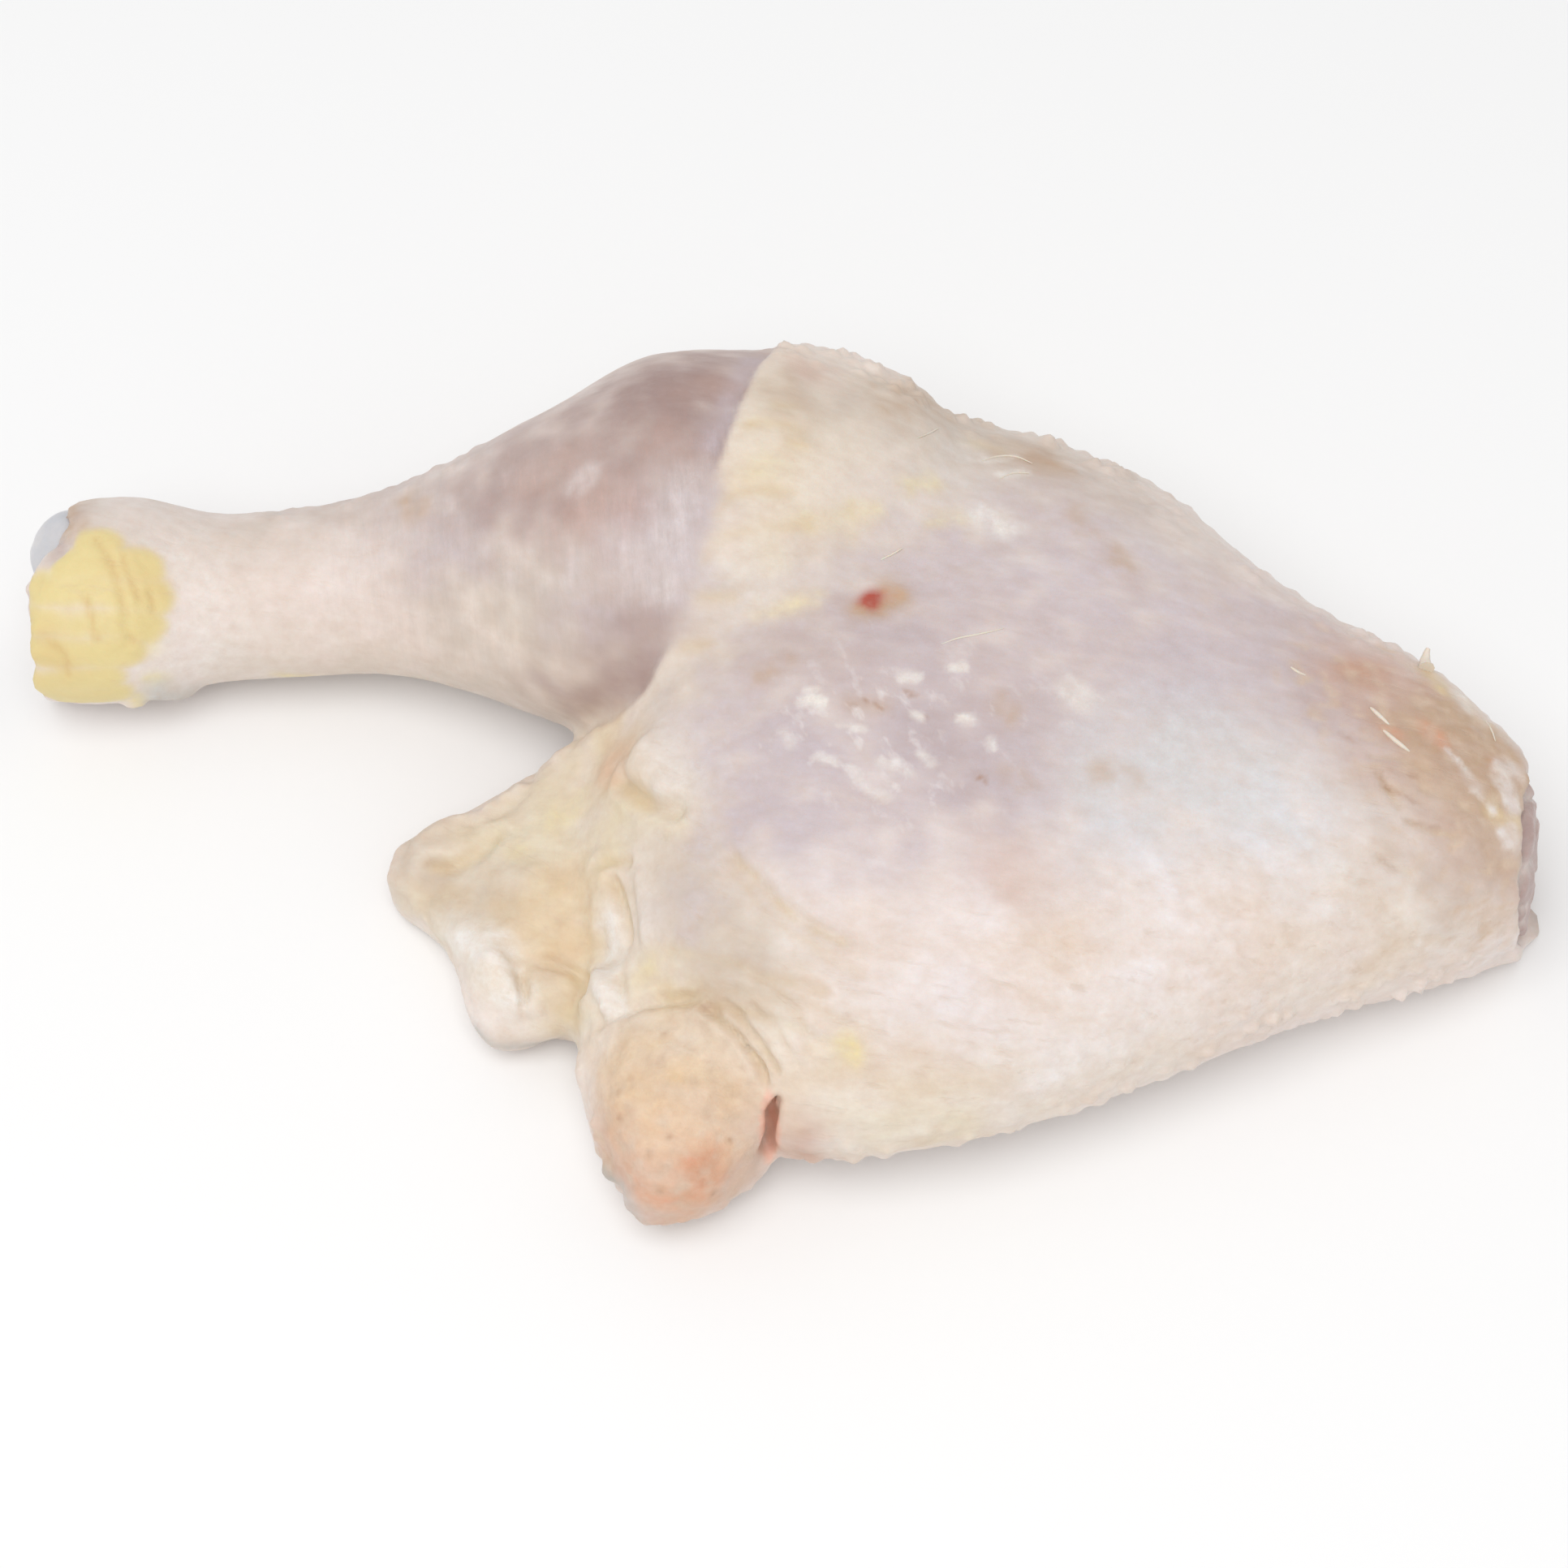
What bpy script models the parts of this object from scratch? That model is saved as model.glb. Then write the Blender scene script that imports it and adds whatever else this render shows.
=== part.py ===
"""Raw chicken leg quarter with its skin on, lying with the skin side up.

Metres, +Z up. The drumstick points along -X, the hip cut along +X and the tail along -Y.
The skin and its fat are one shell with a loose flap and the tail. The meat fills it and shows
at the hip cut. The shin bone runs through the meat and shows its knuckles at the hock.
"""

import math

import bmesh
import bpy
import numpy as np
from mathutils import Matrix, Vector
from mathutils.bvhtree import BVHTree

MM = 0.001

# ---- Driving sizes, in millimetres ------------------------------------------------------
SKIN_THICKNESS = 2.4        # skin with the fat under it
SKIN_LEAST = 1.8            # under a crease
GAP = 0.3                   # between the skin, the meat and the bone
VOXEL = 1.55                # grain of the mesh that blends the masses
SKIN_TRIANGLES = 8700       # outside of the skin
CAVITY_TRIANGLES = 1500     # inside of the skin, and the meat
BONE_TRIANGLES = 500
RING_SIDES = 40             # corners round a mass
RING_STEP = 2.8             # distance between the rings of a mass

# Drumstick: distance along X, then the middle of its round section and its half sizes
DRUMSTICK = (
    # x, middle y, middle z, half depth, half height
    (-112.8, 28.3, 11.6, 10.5, 11.1),
    (-103.7, 30.2, 13.8, 14.6, 14.1),
    (-93.7, 30.9, 14.1, 15.3, 14.6),
    (-82.8, 31.9, 13.2, 12.7, 12.4),
    (-71.0, 32.3, 13.7, 12.2, 12.2),
    (-56.4, 33.2, 15.5, 13.8, 13.5),
    (-43.7, 32.6, 18.7, 18.3, 17.7),
    (-30.9, 31.7, 21.8, 24.1, 22.3),
    (-18.2, 33.0, 23.7, 28.9, 25.7),
    (-5.5, 33.0, 23.7, 30.0, 25.3),
    (7.3, 33.3, 22.4, 29.7, 23.7),
    (20.0, 33.7, 20.9, 24.6, 20.9),
    (30.9, 30.9, 18.2, 10.9, 12.7),
)

# The masses that lie flat: distance along X, the near and far edge in plan, where the crown
# lies between them, the crown's height and the height of the widest level
THIGH = (
    # x, near y, far y, crown y, crown height, waist height
    (-27.3, -29.1, -1.8, -14.6, 10.9, 5.5),
    (-21.8, -41.9, 9.1, -12.7, 23.7, 9.1),
    (-12.7, -51.0, 27.3, -7.3, 34.6, 11.8),
    (0.0, -59.3, 51.0, -1.8, 41.0, 13.7),
    (14.6, -59.4, 59.1, 0.0, 42.8, 14.6),
    (29.1, -56.6, 56.4, -1.8, 42.8, 15.5),
    (43.7, -51.4, 50.8, -3.6, 41.4, 16.4),
    (54.6, -46.4, 44.4, -6.4, 39.6, 16.4),
    (65.5, -41.0, 31.9, -9.1, 37.8, 16.4),
    (76.4, -36.4, 21.8, -11.8, 35.8, 16.4),
    (87.4, -32.3, 15.9, -12.7, 33.7, 15.5),
    (98.3, -27.5, 4.4, -12.7, 29.6, 13.7),
    (104.5, -24.8, -4.5, -14.0, 26.8, 12.5),
    (111.0, -21.5, -12.5, -16.0, 20.0, 10.9),
)
MEAT_START = (-9.1, -38.2, 38.2, -1.8, 30.9, 13.7)     # the thigh's meat stops short of the flap
FLAP = (
    (-55.5, -13.7, -8.6, -11.4, 7.3, 4.5),
    (-51.0, -18.2, -5.7, -11.8, 10.0, 5.0),
    (-46.4, -23.1, -2.7, -12.7, 11.4, 5.5),
    (-43.6, -31.0, -1.0, -13.4, 12.1, 5.3),
    (-41.6, -37.6, 0.4, -13.8, 12.5, 5.0),
    (-38.2, -39.2, 2.3, -14.6, 13.2, 5.0),
    (-30.9, -37.4, 7.7, -14.6, 16.4, 5.5),
    (-22.8, -35.8, 12.7, -14.6, 22.8, 6.4),
    (-10.9, -35.5, 10.9, -14.6, 18.2, 6.4),
)
TAIL = (
    (-27.6, -46.0, -40.0, -42.6, 11.8, 7.3),
    (-24.3, -56.8, -33.6, -43.7, 18.3, 8.2),
    (-21.2, -61.5, -30.9, -43.7, 21.5, 8.6),
    (-18.8, -66.8, -30.9, -43.7, 22.8, 8.6),
    (-14.8, -67.0, -30.9, -43.7, 23.2, 9.1),
    (-9.0, -65.4, -30.9, -43.7, 23.2, 9.1),
    (-5.0, -61.6, -30.9, -43.7, 22.0, 8.6),
    (-0.5, -53.6, -34.6, -43.7, 16.5, 7.3),
)
FLAT_SQUARENESS = 0.86      # under 1 the section of a flat mass is fuller than an ellipse
UNDER_TABLE = 2.7           # how far the masses reach below the table before they are cut level

# Relief that is pressed into the skin from above, each along a line in plan (x, y)
THIGH_EDGE = (              # where the thigh's skin lies over the drumstick's
    (-0.9, 71.0), (-1.3, 51.0), (-4.5, 41.0), (-7.3, 28.6), (-8.9, 19.1),
    (-11.1, 13.7), (-13.2, 9.0), (-17.3, 5.9), (-22.8, 5.0),
)
THIGH_EDGE_HEIGHT = 1.1
THIGH_EDGE_WIDTH = 2.8
THIGH_EDGE_FADE = 24.0
CREASES = (
    # depth, half width, line
    (0.9, 7.3, ((-1.8, 5.5), (9.1, 10.0), (20.0, 14.6), (32.8, 22.8))),
    (1.7, 3.6, ((-27.3, -2.7), (-28.7, -10.9), (-28.9, -20.0), (-28.0, -28.0), (-26.4, -33.0))),
    (0.9, 1.3, ((-22.3, -22.3), (-21.3, -26.5), (-20.4, -30.2), (-20.8, -32.7))),
    (1.1, 1.7, ((-48.2, -14.7), (-44.4, -13.7), (-41.0, -13.3))),
    (1.3, 1.7, ((-37.6, -29.0), (-34.0, -30.8), (-30.0, -32.2), (-26.3, -34.6))),
    (1.1, 1.3, ((-35.8, -32.8), (-35.4, -36.4))),
    (0.8, 2.4, ((-10.5, -23.0), (-5.5, -31.5), (0.0, -37.0), (8.2, -41.9))),
    (1.3, 1.5, ((-24.7, -41.6), (-21.5, -42.3), (-15.6, -42.4), (-12.3, -43.4), (-8.3, -46.1),
                (-5.7, -49.2), (-3.7, -52.6), (-2.3, -54.7))),
)
LUMPS = (
    # height, middle x and y, half sizes along x and y
    (2.0, -39.4, -31.2, 3.4, 5.6),
    (1.5, -31.5, -35.6, 5.2, 2.6),
    (2.2, -24.6, -37.6, 2.2, 3.8),
    (1.5, -50.1, -9.6, 6.0, 3.3),
    (1.1, -36.6, -19.1, 4.5, 6.4),
    (1.3, -18.2, -9.1, 5.5, 5.5),
    (1.3, -11.8, -54.6, 10.0, 8.2),
)

# Openings
HOCK_CORNER = Vector((-109.7, 33.4, 14.1))      # where the two end cuts through the shank meet
HOCK_CUT_AXES = (                               # they face away from the thigh
    Vector((-0.970, -0.235, 0.066)),            # the near half, a little forwards
    Vector((-0.875, 0.270, 0.402)),             # the far half, back and up, so that a knuckle shows
)
HIP_CUT = Vector((102.0, -11.8, 16.4))
HIP_CUT_AXIS = Vector((1.0, -0.19, 0.17))
HIP_BULGE = 1.9                                 # how far the meat swells past the skin's edge
HIP_DOME = 110.0                                # radius of the swell
HIP_ROOM = 8.0                                  # how far behind the skin's edge the swell is shaped
MEAT_HOCK_CUT = Vector((-104.2, 30.4, 13.8))    # the meat stops inside the shank
MEAT_HOCK_CUT_AXIS = Vector((-1.0, -0.05, 0.08))
SLIT_MIDDLE = (-1.9, -58.6, 16.4)               # opening between the tail and the thigh
SLIT_HALF_SIZE = (1.3, 5.2, 8.4)
SLIT_LEAN = math.radians(12.0)

# Shin bone: two knuckles at the hock and a shaft towards the knee
KNUCKLES = (
    # middle, half sizes
    ((-101.2, 36.0, 17.8), (7.8, 6.8, 7.4)),
    ((-101.2, 25.7, 11.0), (7.2, 6.4, 7.0)),
)
SHAFT = (
    # x, middle y, middle z, radius
    (-98.3, 30.5, 14.1, 7.7),
    (-91.0, 30.8, 14.1, 6.2),
    (-81.9, 31.4, 13.5, 4.2),
    (-63.7, 32.6, 14.6, 3.6),
    (-36.4, 32.8, 19.6, 4.0),
    (-16.4, 33.2, 22.3, 5.6),
    (-7.3, 33.2, 22.8, 6.7),
)

SKIN_COLOUR = (0.84, 0.71, 0.62, 1.0)
MEAT_COLOUR = (0.52, 0.29, 0.27, 1.0)
BONE_COLOUR = (0.72, 0.76, 0.82, 1.0)


# ---- Masses -------------------------------------------------------------------------------
def smooth_stations(stations, step):
    """Rows on smooth curves through the given rows, about step apart in their first number."""
    rows = np.array(stations)
    x = rows[:, 0]
    slopes = np.gradient(rows, x, axis=0)
    made = []
    for i in range(len(x) - 1):
        span = x[i + 1] - x[i]
        count = max(2, round(span / step))
        for t in np.arange(count) / count:
            made.append(
                rows[i] * (1 + 2 * t) * (1 - t) ** 2
                + slopes[i] * span * t * (1 - t) ** 2
                + rows[i + 1] * t * t * (3 - 2 * t)
                + slopes[i + 1] * span * t * t * (t - 1)
            )
    made.append(rows[-1])
    return np.array(made)


def new_object(name, mesh):
    """A scene object that takes over the bmesh."""
    data = bpy.data.meshes.new(name)
    mesh.to_mesh(data)
    mesh.free()
    made = bpy.data.objects.new(name, data)
    bpy.context.scene.collection.objects.link(made)
    return made


def loft(name, rings):
    """A closed mesh object through rings of points in millimetres, all of the same count."""
    mesh = bmesh.new()
    loops = [[mesh.verts.new(Vector(p) * MM) for p in ring] for ring in rings]
    sides = len(loops[0])
    for lower, upper in zip(loops, loops[1:]):
        for i in range(sides):
            j = (i + 1) % sides
            mesh.faces.new((lower[i], lower[j], upper[j], upper[i]))
    mesh.faces.new(loops[0][::-1])
    mesh.faces.new(loops[-1])
    bmesh.ops.recalc_face_normals(mesh, faces=mesh.faces)
    return new_object(name, mesh)


def round_mass(name, stations, inset):
    """A mass with round sections in planes across X."""
    rings = []
    for x, y, z, depth, height in smooth_stations(stations, RING_STEP):
        ring = []
        for i in range(RING_SIDES):
            turn = 2 * math.pi * i / RING_SIDES
            ring.append((x, y + (depth - inset) * math.cos(turn), z + (height - inset) * math.sin(turn)))
        rings.append(ring)
    return loft(name, rings)


def flat_mass(name, stations, inset):
    """A mass that lies on the table, with full, skewed ellipses for its sections."""
    rings = []
    for x, near, far, crown, top, waist in smooth_stations(stations, RING_STEP):
        ring = []
        for i in range(RING_SIDES):
            turn = 2 * math.pi * i / RING_SIDES
            across = math.cos(turn)
            up = math.sin(turn)
            reach = (far - crown if across > 0 else crown - near) - inset
            rise = (top - waist if up > 0 else waist + UNDER_TABLE) - inset
            ring.append((
                x,
                crown + reach * math.copysign(abs(across) ** FLAT_SQUARENESS, across),
                waist + rise * math.copysign(abs(up) ** FLAT_SQUARENESS, up),
            ))
        rings.append(ring)
    return loft(name, rings)


def ellipsoid(name, middle, half_size, lean=0.0, detail=24):
    """An ellipsoid, leaning over by an angle about the Y axis."""
    mesh = bmesh.new()
    bmesh.ops.create_uvsphere(mesh, u_segments=detail, v_segments=detail // 2, radius=1.0)
    place = (
        Matrix.Translation(Vector(middle) * MM)
        @ Matrix.Rotation(lean, 4, "Y")
        @ Matrix.Diagonal((*(Vector(half_size) * MM), 1.0))
    )
    bmesh.ops.transform(mesh, matrix=place, verts=mesh.verts)
    return new_object(name, mesh)


def half_space(name, point, axis):
    """A large block whose face passes through the point and that lies on the axis's side."""
    mesh = bmesh.new()
    bmesh.ops.create_cube(mesh, size=400 * MM)
    turn = Vector((0, 0, 1)).rotation_difference(axis).to_matrix().to_4x4()
    place = Matrix.Translation(Vector(point) * MM) @ turn @ Matrix.Translation((0, 0, 200 * MM))
    bmesh.ops.transform(mesh, matrix=place, verts=mesh.verts)
    return new_object(name, mesh)


# ---- Mesh work ----------------------------------------------------------------------------
def modified(obj, kind, **settings):
    """Applies a modifier, so that the object's own mesh holds the result."""
    modifier = obj.modifiers.new(kind.title(), kind)
    for setting, value in settings.items():
        setattr(modifier, setting, value)
    graph = bpy.context.evaluated_depsgraph_get()
    made = bpy.data.meshes.new_from_object(obj.evaluated_get(graph))
    obj.modifiers.clear()
    obj.data = made
    return obj


def cut(obj, cutter, operation="DIFFERENCE"):
    """Cuts the object with the cutter and removes the cutter."""
    modified(obj, "BOOLEAN", object=cutter, operation=operation, solver="EXACT")
    bpy.data.objects.remove(cutter)


def merged(name, masses):
    """The masses as one object, still as overlapping shells."""
    mesh = bmesh.new()
    for mass in masses:
        mesh.from_mesh(mass.data)
        bpy.data.objects.remove(mass)
    return new_object(name, mesh)


def blended(name, masses, voxel, smoothing):
    """The masses as one skin with soft joints."""
    made = merged(name, masses)
    modified(made, "REMESH", mode="VOXEL", voxel_size=voxel * MM)
    modified(made, "SMOOTH", factor=0.5, iterations=smoothing)
    return made


def thinned(obj, triangles):
    """Reduces the mesh to about so many triangles."""
    modified(obj, "TRIANGULATE")
    modified(obj, "DECIMATE", ratio=min(1.0, triangles / len(obj.data.polygons)))


def copied(obj, name, swell):
    """A copy whose surface is moved outwards by swell millimetres."""
    made = bpy.data.objects.new(name, obj.data.copy())
    bpy.context.scene.collection.objects.link(made)
    normals = [vertex.normal.copy() for vertex in made.data.vertices]
    for vertex, normal in zip(made.data.vertices, normals):
        vertex.co += normal * (swell * MM)
    return made


def kept_inside(obj, shell, depth):
    """Moves the object's surface in wherever it lies less deep than this inside the shell."""
    mesh = bmesh.new()
    mesh.from_mesh(shell.data)
    tree = BVHTree.FromBMesh(mesh)
    mesh.free()
    for vertex in obj.data.vertices:
        place, normal, _, _ = tree.find_nearest(vertex.co)
        if (place - vertex.co).dot(normal) < depth * MM:
            vertex.co = place - normal * (depth * MM)


def line_distance(points, line):
    """Distance of plan points from a line through corners, and on which side of it they are."""
    best = np.full(len(points), np.inf)
    side = np.ones(len(points))
    for start, end in zip(line, line[1:]):
        start = np.array(start)
        along = np.array(end) - start
        t = np.clip((points - start) @ along / (along @ along), 0.0, 1.0)
        away = points - start - t[:, None] * along
        distance = np.hypot(away[:, 0], away[:, 1])
        nearer = distance < best
        best = np.where(nearer, distance, best)
        turn = along[0] * away[:, 1] - along[1] * away[:, 0]
        side = np.where(nearer, np.sign(turn), side)
    return best, side


def press_relief(obj):
    """Presses the folds, creases and lumps into the side of the skin that faces up."""
    mesh = obj.data
    points = np.array([vertex.co for vertex in mesh.vertices]) / MM
    normals = np.array([vertex.normal for vertex in mesh.vertices])
    plan = points[:, :2]
    facing_up = np.clip((normals[:, 2] + 0.15) / 0.4, 0.0, 1.0)
    move = np.zeros(len(points))
    distance, side = line_distance(plan, THIGH_EDGE)
    on_thigh = np.where(side > 0, distance, -distance)
    ramp = np.clip(on_thigh / THIGH_EDGE_WIDTH + 0.5, 0.0, 1.0)
    move += THIGH_EDGE_HEIGHT * ramp * np.exp(-(np.maximum(on_thigh, 0.0) / THIGH_EDGE_FADE) ** 2)
    for depth, width, line in CREASES:
        distance, side = line_distance(plan, line)
        move -= depth * np.exp(-(distance / width) ** 2)
    for height, x, y, half_x, half_y in LUMPS:
        move += height * np.exp(-((plan[:, 0] - x) / half_x) ** 2 - ((plan[:, 1] - y) / half_y) ** 2)
    points += normals * (move * facing_up)[:, None]
    for vertex, point in zip(mesh.vertices, points):
        vertex.co = point * MM


def finish(obj, colour, roughness):
    """Smooth shading and the object's own material."""
    for face in obj.data.polygons:
        face.use_smooth = True
    material = bpy.data.materials.new(obj.name)
    material.use_nodes = True
    surface = material.node_tree.nodes["Principled BSDF"]
    surface.inputs["Base Color"].default_value = colour
    surface.inputs["Roughness"].default_value = roughness
    obj.data.materials.clear()
    obj.data.materials.append(material)


# ---- The leg ------------------------------------------------------------------------------
def main():
    for old in list(bpy.data.objects):
        bpy.data.objects.remove(old)

    # Outside of the skin
    skin = blended("skin", [
        round_mass("drumstick", DRUMSTICK, 0.0),
        flat_mass("thigh", THIGH, 0.0),
        flat_mass("flap", FLAP, 0.0),
        flat_mass("tail", TAIL, 0.0),
    ], VOXEL, 14)
    press_relief(skin)
    thinned(skin, SKIN_TRIANGLES)
    cut(skin, ellipsoid("slit", SLIT_MIDDLE, SLIT_HALF_SIZE, SLIT_LEAN))

    # Inside of the skin, through the thigh and the drumstick and out at both cuts
    cavity = blended("cavity", [
        round_mass("drumstick", DRUMSTICK, SKIN_THICKNESS),
        flat_mass("thigh", (MEAT_START, *THIGH[3:]), SKIN_THICKNESS),
    ], VOXEL, 14)
    kept_inside(cavity, skin, SKIN_LEAST)
    cut(cavity, half_space("table", (0.0, 0.0, SKIN_THICKNESS), Vector((0, 0, -1))))
    thinned(cavity, CAVITY_TRIANGLES)

    # Shin bone
    knuckles = [ellipsoid("knuckle", middle, size) for middle, size in KNUCKLES]
    shaft = round_mass("shaft", [(x, y, z, radius, radius) for x, y, z, radius in SHAFT], 0.0)
    bone = blended("shin_bone", knuckles + [shaft], 1.0, 6)
    thinned(bone, BONE_TRIANGLES)

    # Meat: the filling of the skin, short of the shank's cut and swelling out at the hip
    meat = copied(cavity, "meat", -GAP)
    cut(meat, half_space("hock cut", MEAT_HOCK_CUT, MEAT_HOCK_CUT_AXIS))
    out = HIP_CUT_AXIS.normalized()
    hip_end = half_space("hip end", HIP_CUT - out * HIP_ROOM, out)
    cut(hip_end, ellipsoid("dome", HIP_CUT + out * (HIP_BULGE - HIP_DOME), [HIP_DOME] * 3, detail=72))
    cut(meat, hip_end)
    cut(meat, copied(bone, "bone room", GAP))

    # Skin: open at both cuts, level where it lies on the table
    cut(skin, cavity)
    cut(skin, copied(bone, "bone room", GAP))
    for axis in HOCK_CUT_AXES:
        cut(skin, half_space("hock cut", HOCK_CORNER, axis))
    cut(skin, half_space("hip cut", HIP_CUT, HIP_CUT_AXIS))
    cut(skin, half_space("table", (0.0, 0.0, 0.0), Vector((0, 0, -1))))

    # The origin is the middle of the underside
    parts = (skin, meat, bone)
    corners = np.array([vertex.co for part in parts for vertex in part.data.vertices])
    lowest = corners.min(axis=0)
    middle = (lowest + corners.max(axis=0)) / 2
    for part in parts:
        part.data.transform(Matrix.Translation((-middle[0], -middle[1], -lowest[2])))

    finish(skin, SKIN_COLOUR, 0.4)
    finish(meat, MEAT_COLOUR, 0.4)
    finish(bone, BONE_COLOUR, 0.3)


main()
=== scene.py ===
"""Raw chicken leg quarter: moist skin over meat, with its flap, its tail and the bone at the hock.

Everything is in metres in the frame of the solids. Lengths named in millimetres are turned with MM.
"""

import math
from functools import partial

import bmesh
import bpy
import numpy as np
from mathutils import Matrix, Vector, noise
from mathutils.bvhtree import BVHTree


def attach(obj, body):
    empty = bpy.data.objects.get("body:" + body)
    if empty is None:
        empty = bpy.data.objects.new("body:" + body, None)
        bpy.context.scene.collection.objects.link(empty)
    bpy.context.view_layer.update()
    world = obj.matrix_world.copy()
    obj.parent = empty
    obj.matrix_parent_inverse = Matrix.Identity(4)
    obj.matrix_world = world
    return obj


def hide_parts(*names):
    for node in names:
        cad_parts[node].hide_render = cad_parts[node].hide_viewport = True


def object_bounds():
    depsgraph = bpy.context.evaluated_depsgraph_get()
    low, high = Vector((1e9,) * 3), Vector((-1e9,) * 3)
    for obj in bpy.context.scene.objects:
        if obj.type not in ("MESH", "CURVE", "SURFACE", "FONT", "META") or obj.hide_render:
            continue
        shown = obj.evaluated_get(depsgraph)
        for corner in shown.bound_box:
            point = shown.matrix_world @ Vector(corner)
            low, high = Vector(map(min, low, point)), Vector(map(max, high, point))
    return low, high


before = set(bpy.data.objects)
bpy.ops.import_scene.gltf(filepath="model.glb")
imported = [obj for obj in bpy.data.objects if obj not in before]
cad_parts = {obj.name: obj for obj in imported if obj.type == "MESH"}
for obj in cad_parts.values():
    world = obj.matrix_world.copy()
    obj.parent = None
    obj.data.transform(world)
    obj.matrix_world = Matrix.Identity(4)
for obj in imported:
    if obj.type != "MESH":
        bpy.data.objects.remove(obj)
solid_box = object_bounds()
MM = 0.001


# ---- Camera ------------------------------------------------------
# A long lens looks down on the leg from in front, from where the photograph was taken. Places on the
# skin are named by the pixel of the photograph where they show, and found along its line of sight.
PHOTO_SIZE = 1932           # pixels across and down
LENS = 85.0
SENSOR = 36.0
CAMERA_RISE = math.radians(55)
CAMERA_DISTANCE = 0.5187
CAMERA_TARGET = Vector((0.00295, 0.00161, 0.01183))

TO_CAMERA = Vector((0, -math.cos(CAMERA_RISE), math.sin(CAMERA_RISE)))

camera_place = CAMERA_TARGET + CAMERA_DISTANCE * TO_CAMERA
bpy.ops.object.camera_add(location=camera_place, rotation=(math.pi / 2 - CAMERA_RISE, 0, 0))
camera = bpy.context.object
camera.data.lens = LENS
camera.data.sensor_width = SENSOR
bpy.context.scene.camera = camera
bpy.context.view_layer.update()


def sight_line(pixel):
    """The direction from the camera through a pixel of the photograph."""
    across, down = ((value / PHOTO_SIZE - 0.5) * SENSOR / LENS for value in pixel)
    return (camera.matrix_world.to_3x3() @ Vector((across, -down, -1))).normalized()


# ---- Skin: its surface -------------------------------------------
# The skin of a scalded and plucked bird: thin and elastic over the meat, padded with fat at the
# knee, in the flap and in the tail. Folds, creases and goose bumps are worked over the smooth solid.
SKIN_GRAIN = 0.67           # mm between the points of the worked surface
SKIN_SMOOTHING = 12
HIDDEN_SHARE = 0.12         # of the faces against the meat and the table are kept
FAR_SHARE = 0.15            # of the faces on the far side are kept
CONTACT = 0.9               # mm from the meat or the bone, where the skin is hidden
ON_TABLE = 0.2              # mm above the table, likewise


def selected_alone(obj):
    bpy.ops.object.select_all(action="DESELECT")
    obj.select_set(True)
    bpy.context.view_layer.objects.active = obj


def worked_copy(node, name, grain, smoothing):
    """A node's solid as a fine, even and smooth mesh."""
    made = bpy.data.objects.new(name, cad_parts[node].data.copy())
    bpy.context.scene.collection.objects.link(made)
    selected_alone(made)
    bpy.ops.object.mode_set(mode="EDIT")
    bpy.ops.mesh.select_all(action="SELECT")
    bpy.ops.mesh.remove_doubles(threshold=1e-6)
    bpy.ops.object.mode_set(mode="OBJECT")
    bpy.ops.object.modifier_add(type="REMESH")
    made.modifiers["Remesh"].mode = "VOXEL"
    made.modifiers["Remesh"].voxel_size = grain * MM
    bpy.ops.object.modifier_apply(modifier="Remesh")
    bpy.ops.object.modifier_add(type="SMOOTH")
    made.modifiers["Smooth"].iterations = smoothing
    bpy.ops.object.modifier_apply(modifier="Smooth")
    return made


def tree_of(obj):
    mesh = bmesh.new()
    mesh.from_mesh(obj.data)
    tree = BVHTree.FromBMesh(mesh)
    mesh.free()
    return tree


def places_of(obj):
    """The object's points in millimetres."""
    places = np.empty(len(obj.data.vertices) * 3)
    obj.data.vertices.foreach_get("co", places)
    return places.reshape(-1, 3) / MM


def normals_of(obj):
    normals = np.empty(len(obj.data.vertices) * 3)
    obj.data.vertex_normals.foreach_get("vector", normals)
    return normals.reshape(-1, 3)


def unit(values):
    return np.clip(values, 0.0, 1.0)


def near(places, tree):
    """Which places lie within reach of a surface."""
    return np.array([tree.find_nearest(place, CONTACT * MM)[0] is not None for place in places * MM])


def on_flesh(places):
    """Which places lie against the meat or the bone."""
    return near(places, meat_tree) | near(places, bone_tree)


def reshaped(obj, places):
    """Moves the object's points to places in millimetres, kept inside the box of the solids."""
    places = np.clip(places, np.array(solid_box[0]) / MM, np.array(solid_box[1]) / MM)
    obj.data.vertices.foreach_set("co", (places * MM).ravel())
    obj.data.update()
    return places


def give_masks(obj, masks):
    """Keeps each mask as an attribute that the materials read by its name."""
    for name, values in masks.items():
        obj.data.attributes.new(name, "FLOAT", "POINT").data.foreach_set("value", values)


def coarsened(obj, chosen, share):
    """Keeps only a share of the faces round the chosen points."""
    selected_alone(obj)
    bpy.ops.object.mode_set(mode="EDIT")
    bpy.ops.mesh.select_mode(type="VERT")
    bpy.ops.mesh.select_all(action="DESELECT")
    bpy.ops.object.mode_set(mode="OBJECT")
    obj.data.vertices.foreach_set("select", chosen)
    bpy.ops.object.mode_set(mode="EDIT")
    bpy.ops.mesh.decimate(ratio=share)
    bpy.ops.object.mode_set(mode="OBJECT")


skin = worked_copy("skin", "leg_skin", SKIN_GRAIN, SKIN_SMOOTHING)
meat_tree = tree_of(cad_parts["meat"])
bone_tree = tree_of(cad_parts["shin_bone"])
points = places_of(skin)
far = normals_of(skin) @ np.array(TO_CAMERA) < -0.3
coarsened(skin, far & ~(on_flesh(points) | (points[:, 2] < ON_TABLE)), FAR_SHARE)
points = places_of(skin)
coarsened(skin, on_flesh(points) | (points[:, 2] < ON_TABLE), HIDDEN_SHARE)
skin_tree = tree_of(skin)
points = places_of(skin)
normals = normals_of(skin)
count = len(points)
outside = np.where(on_flesh(points), 0.0, unit((points[:, 2] - 0.3) / 0.8))


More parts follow.
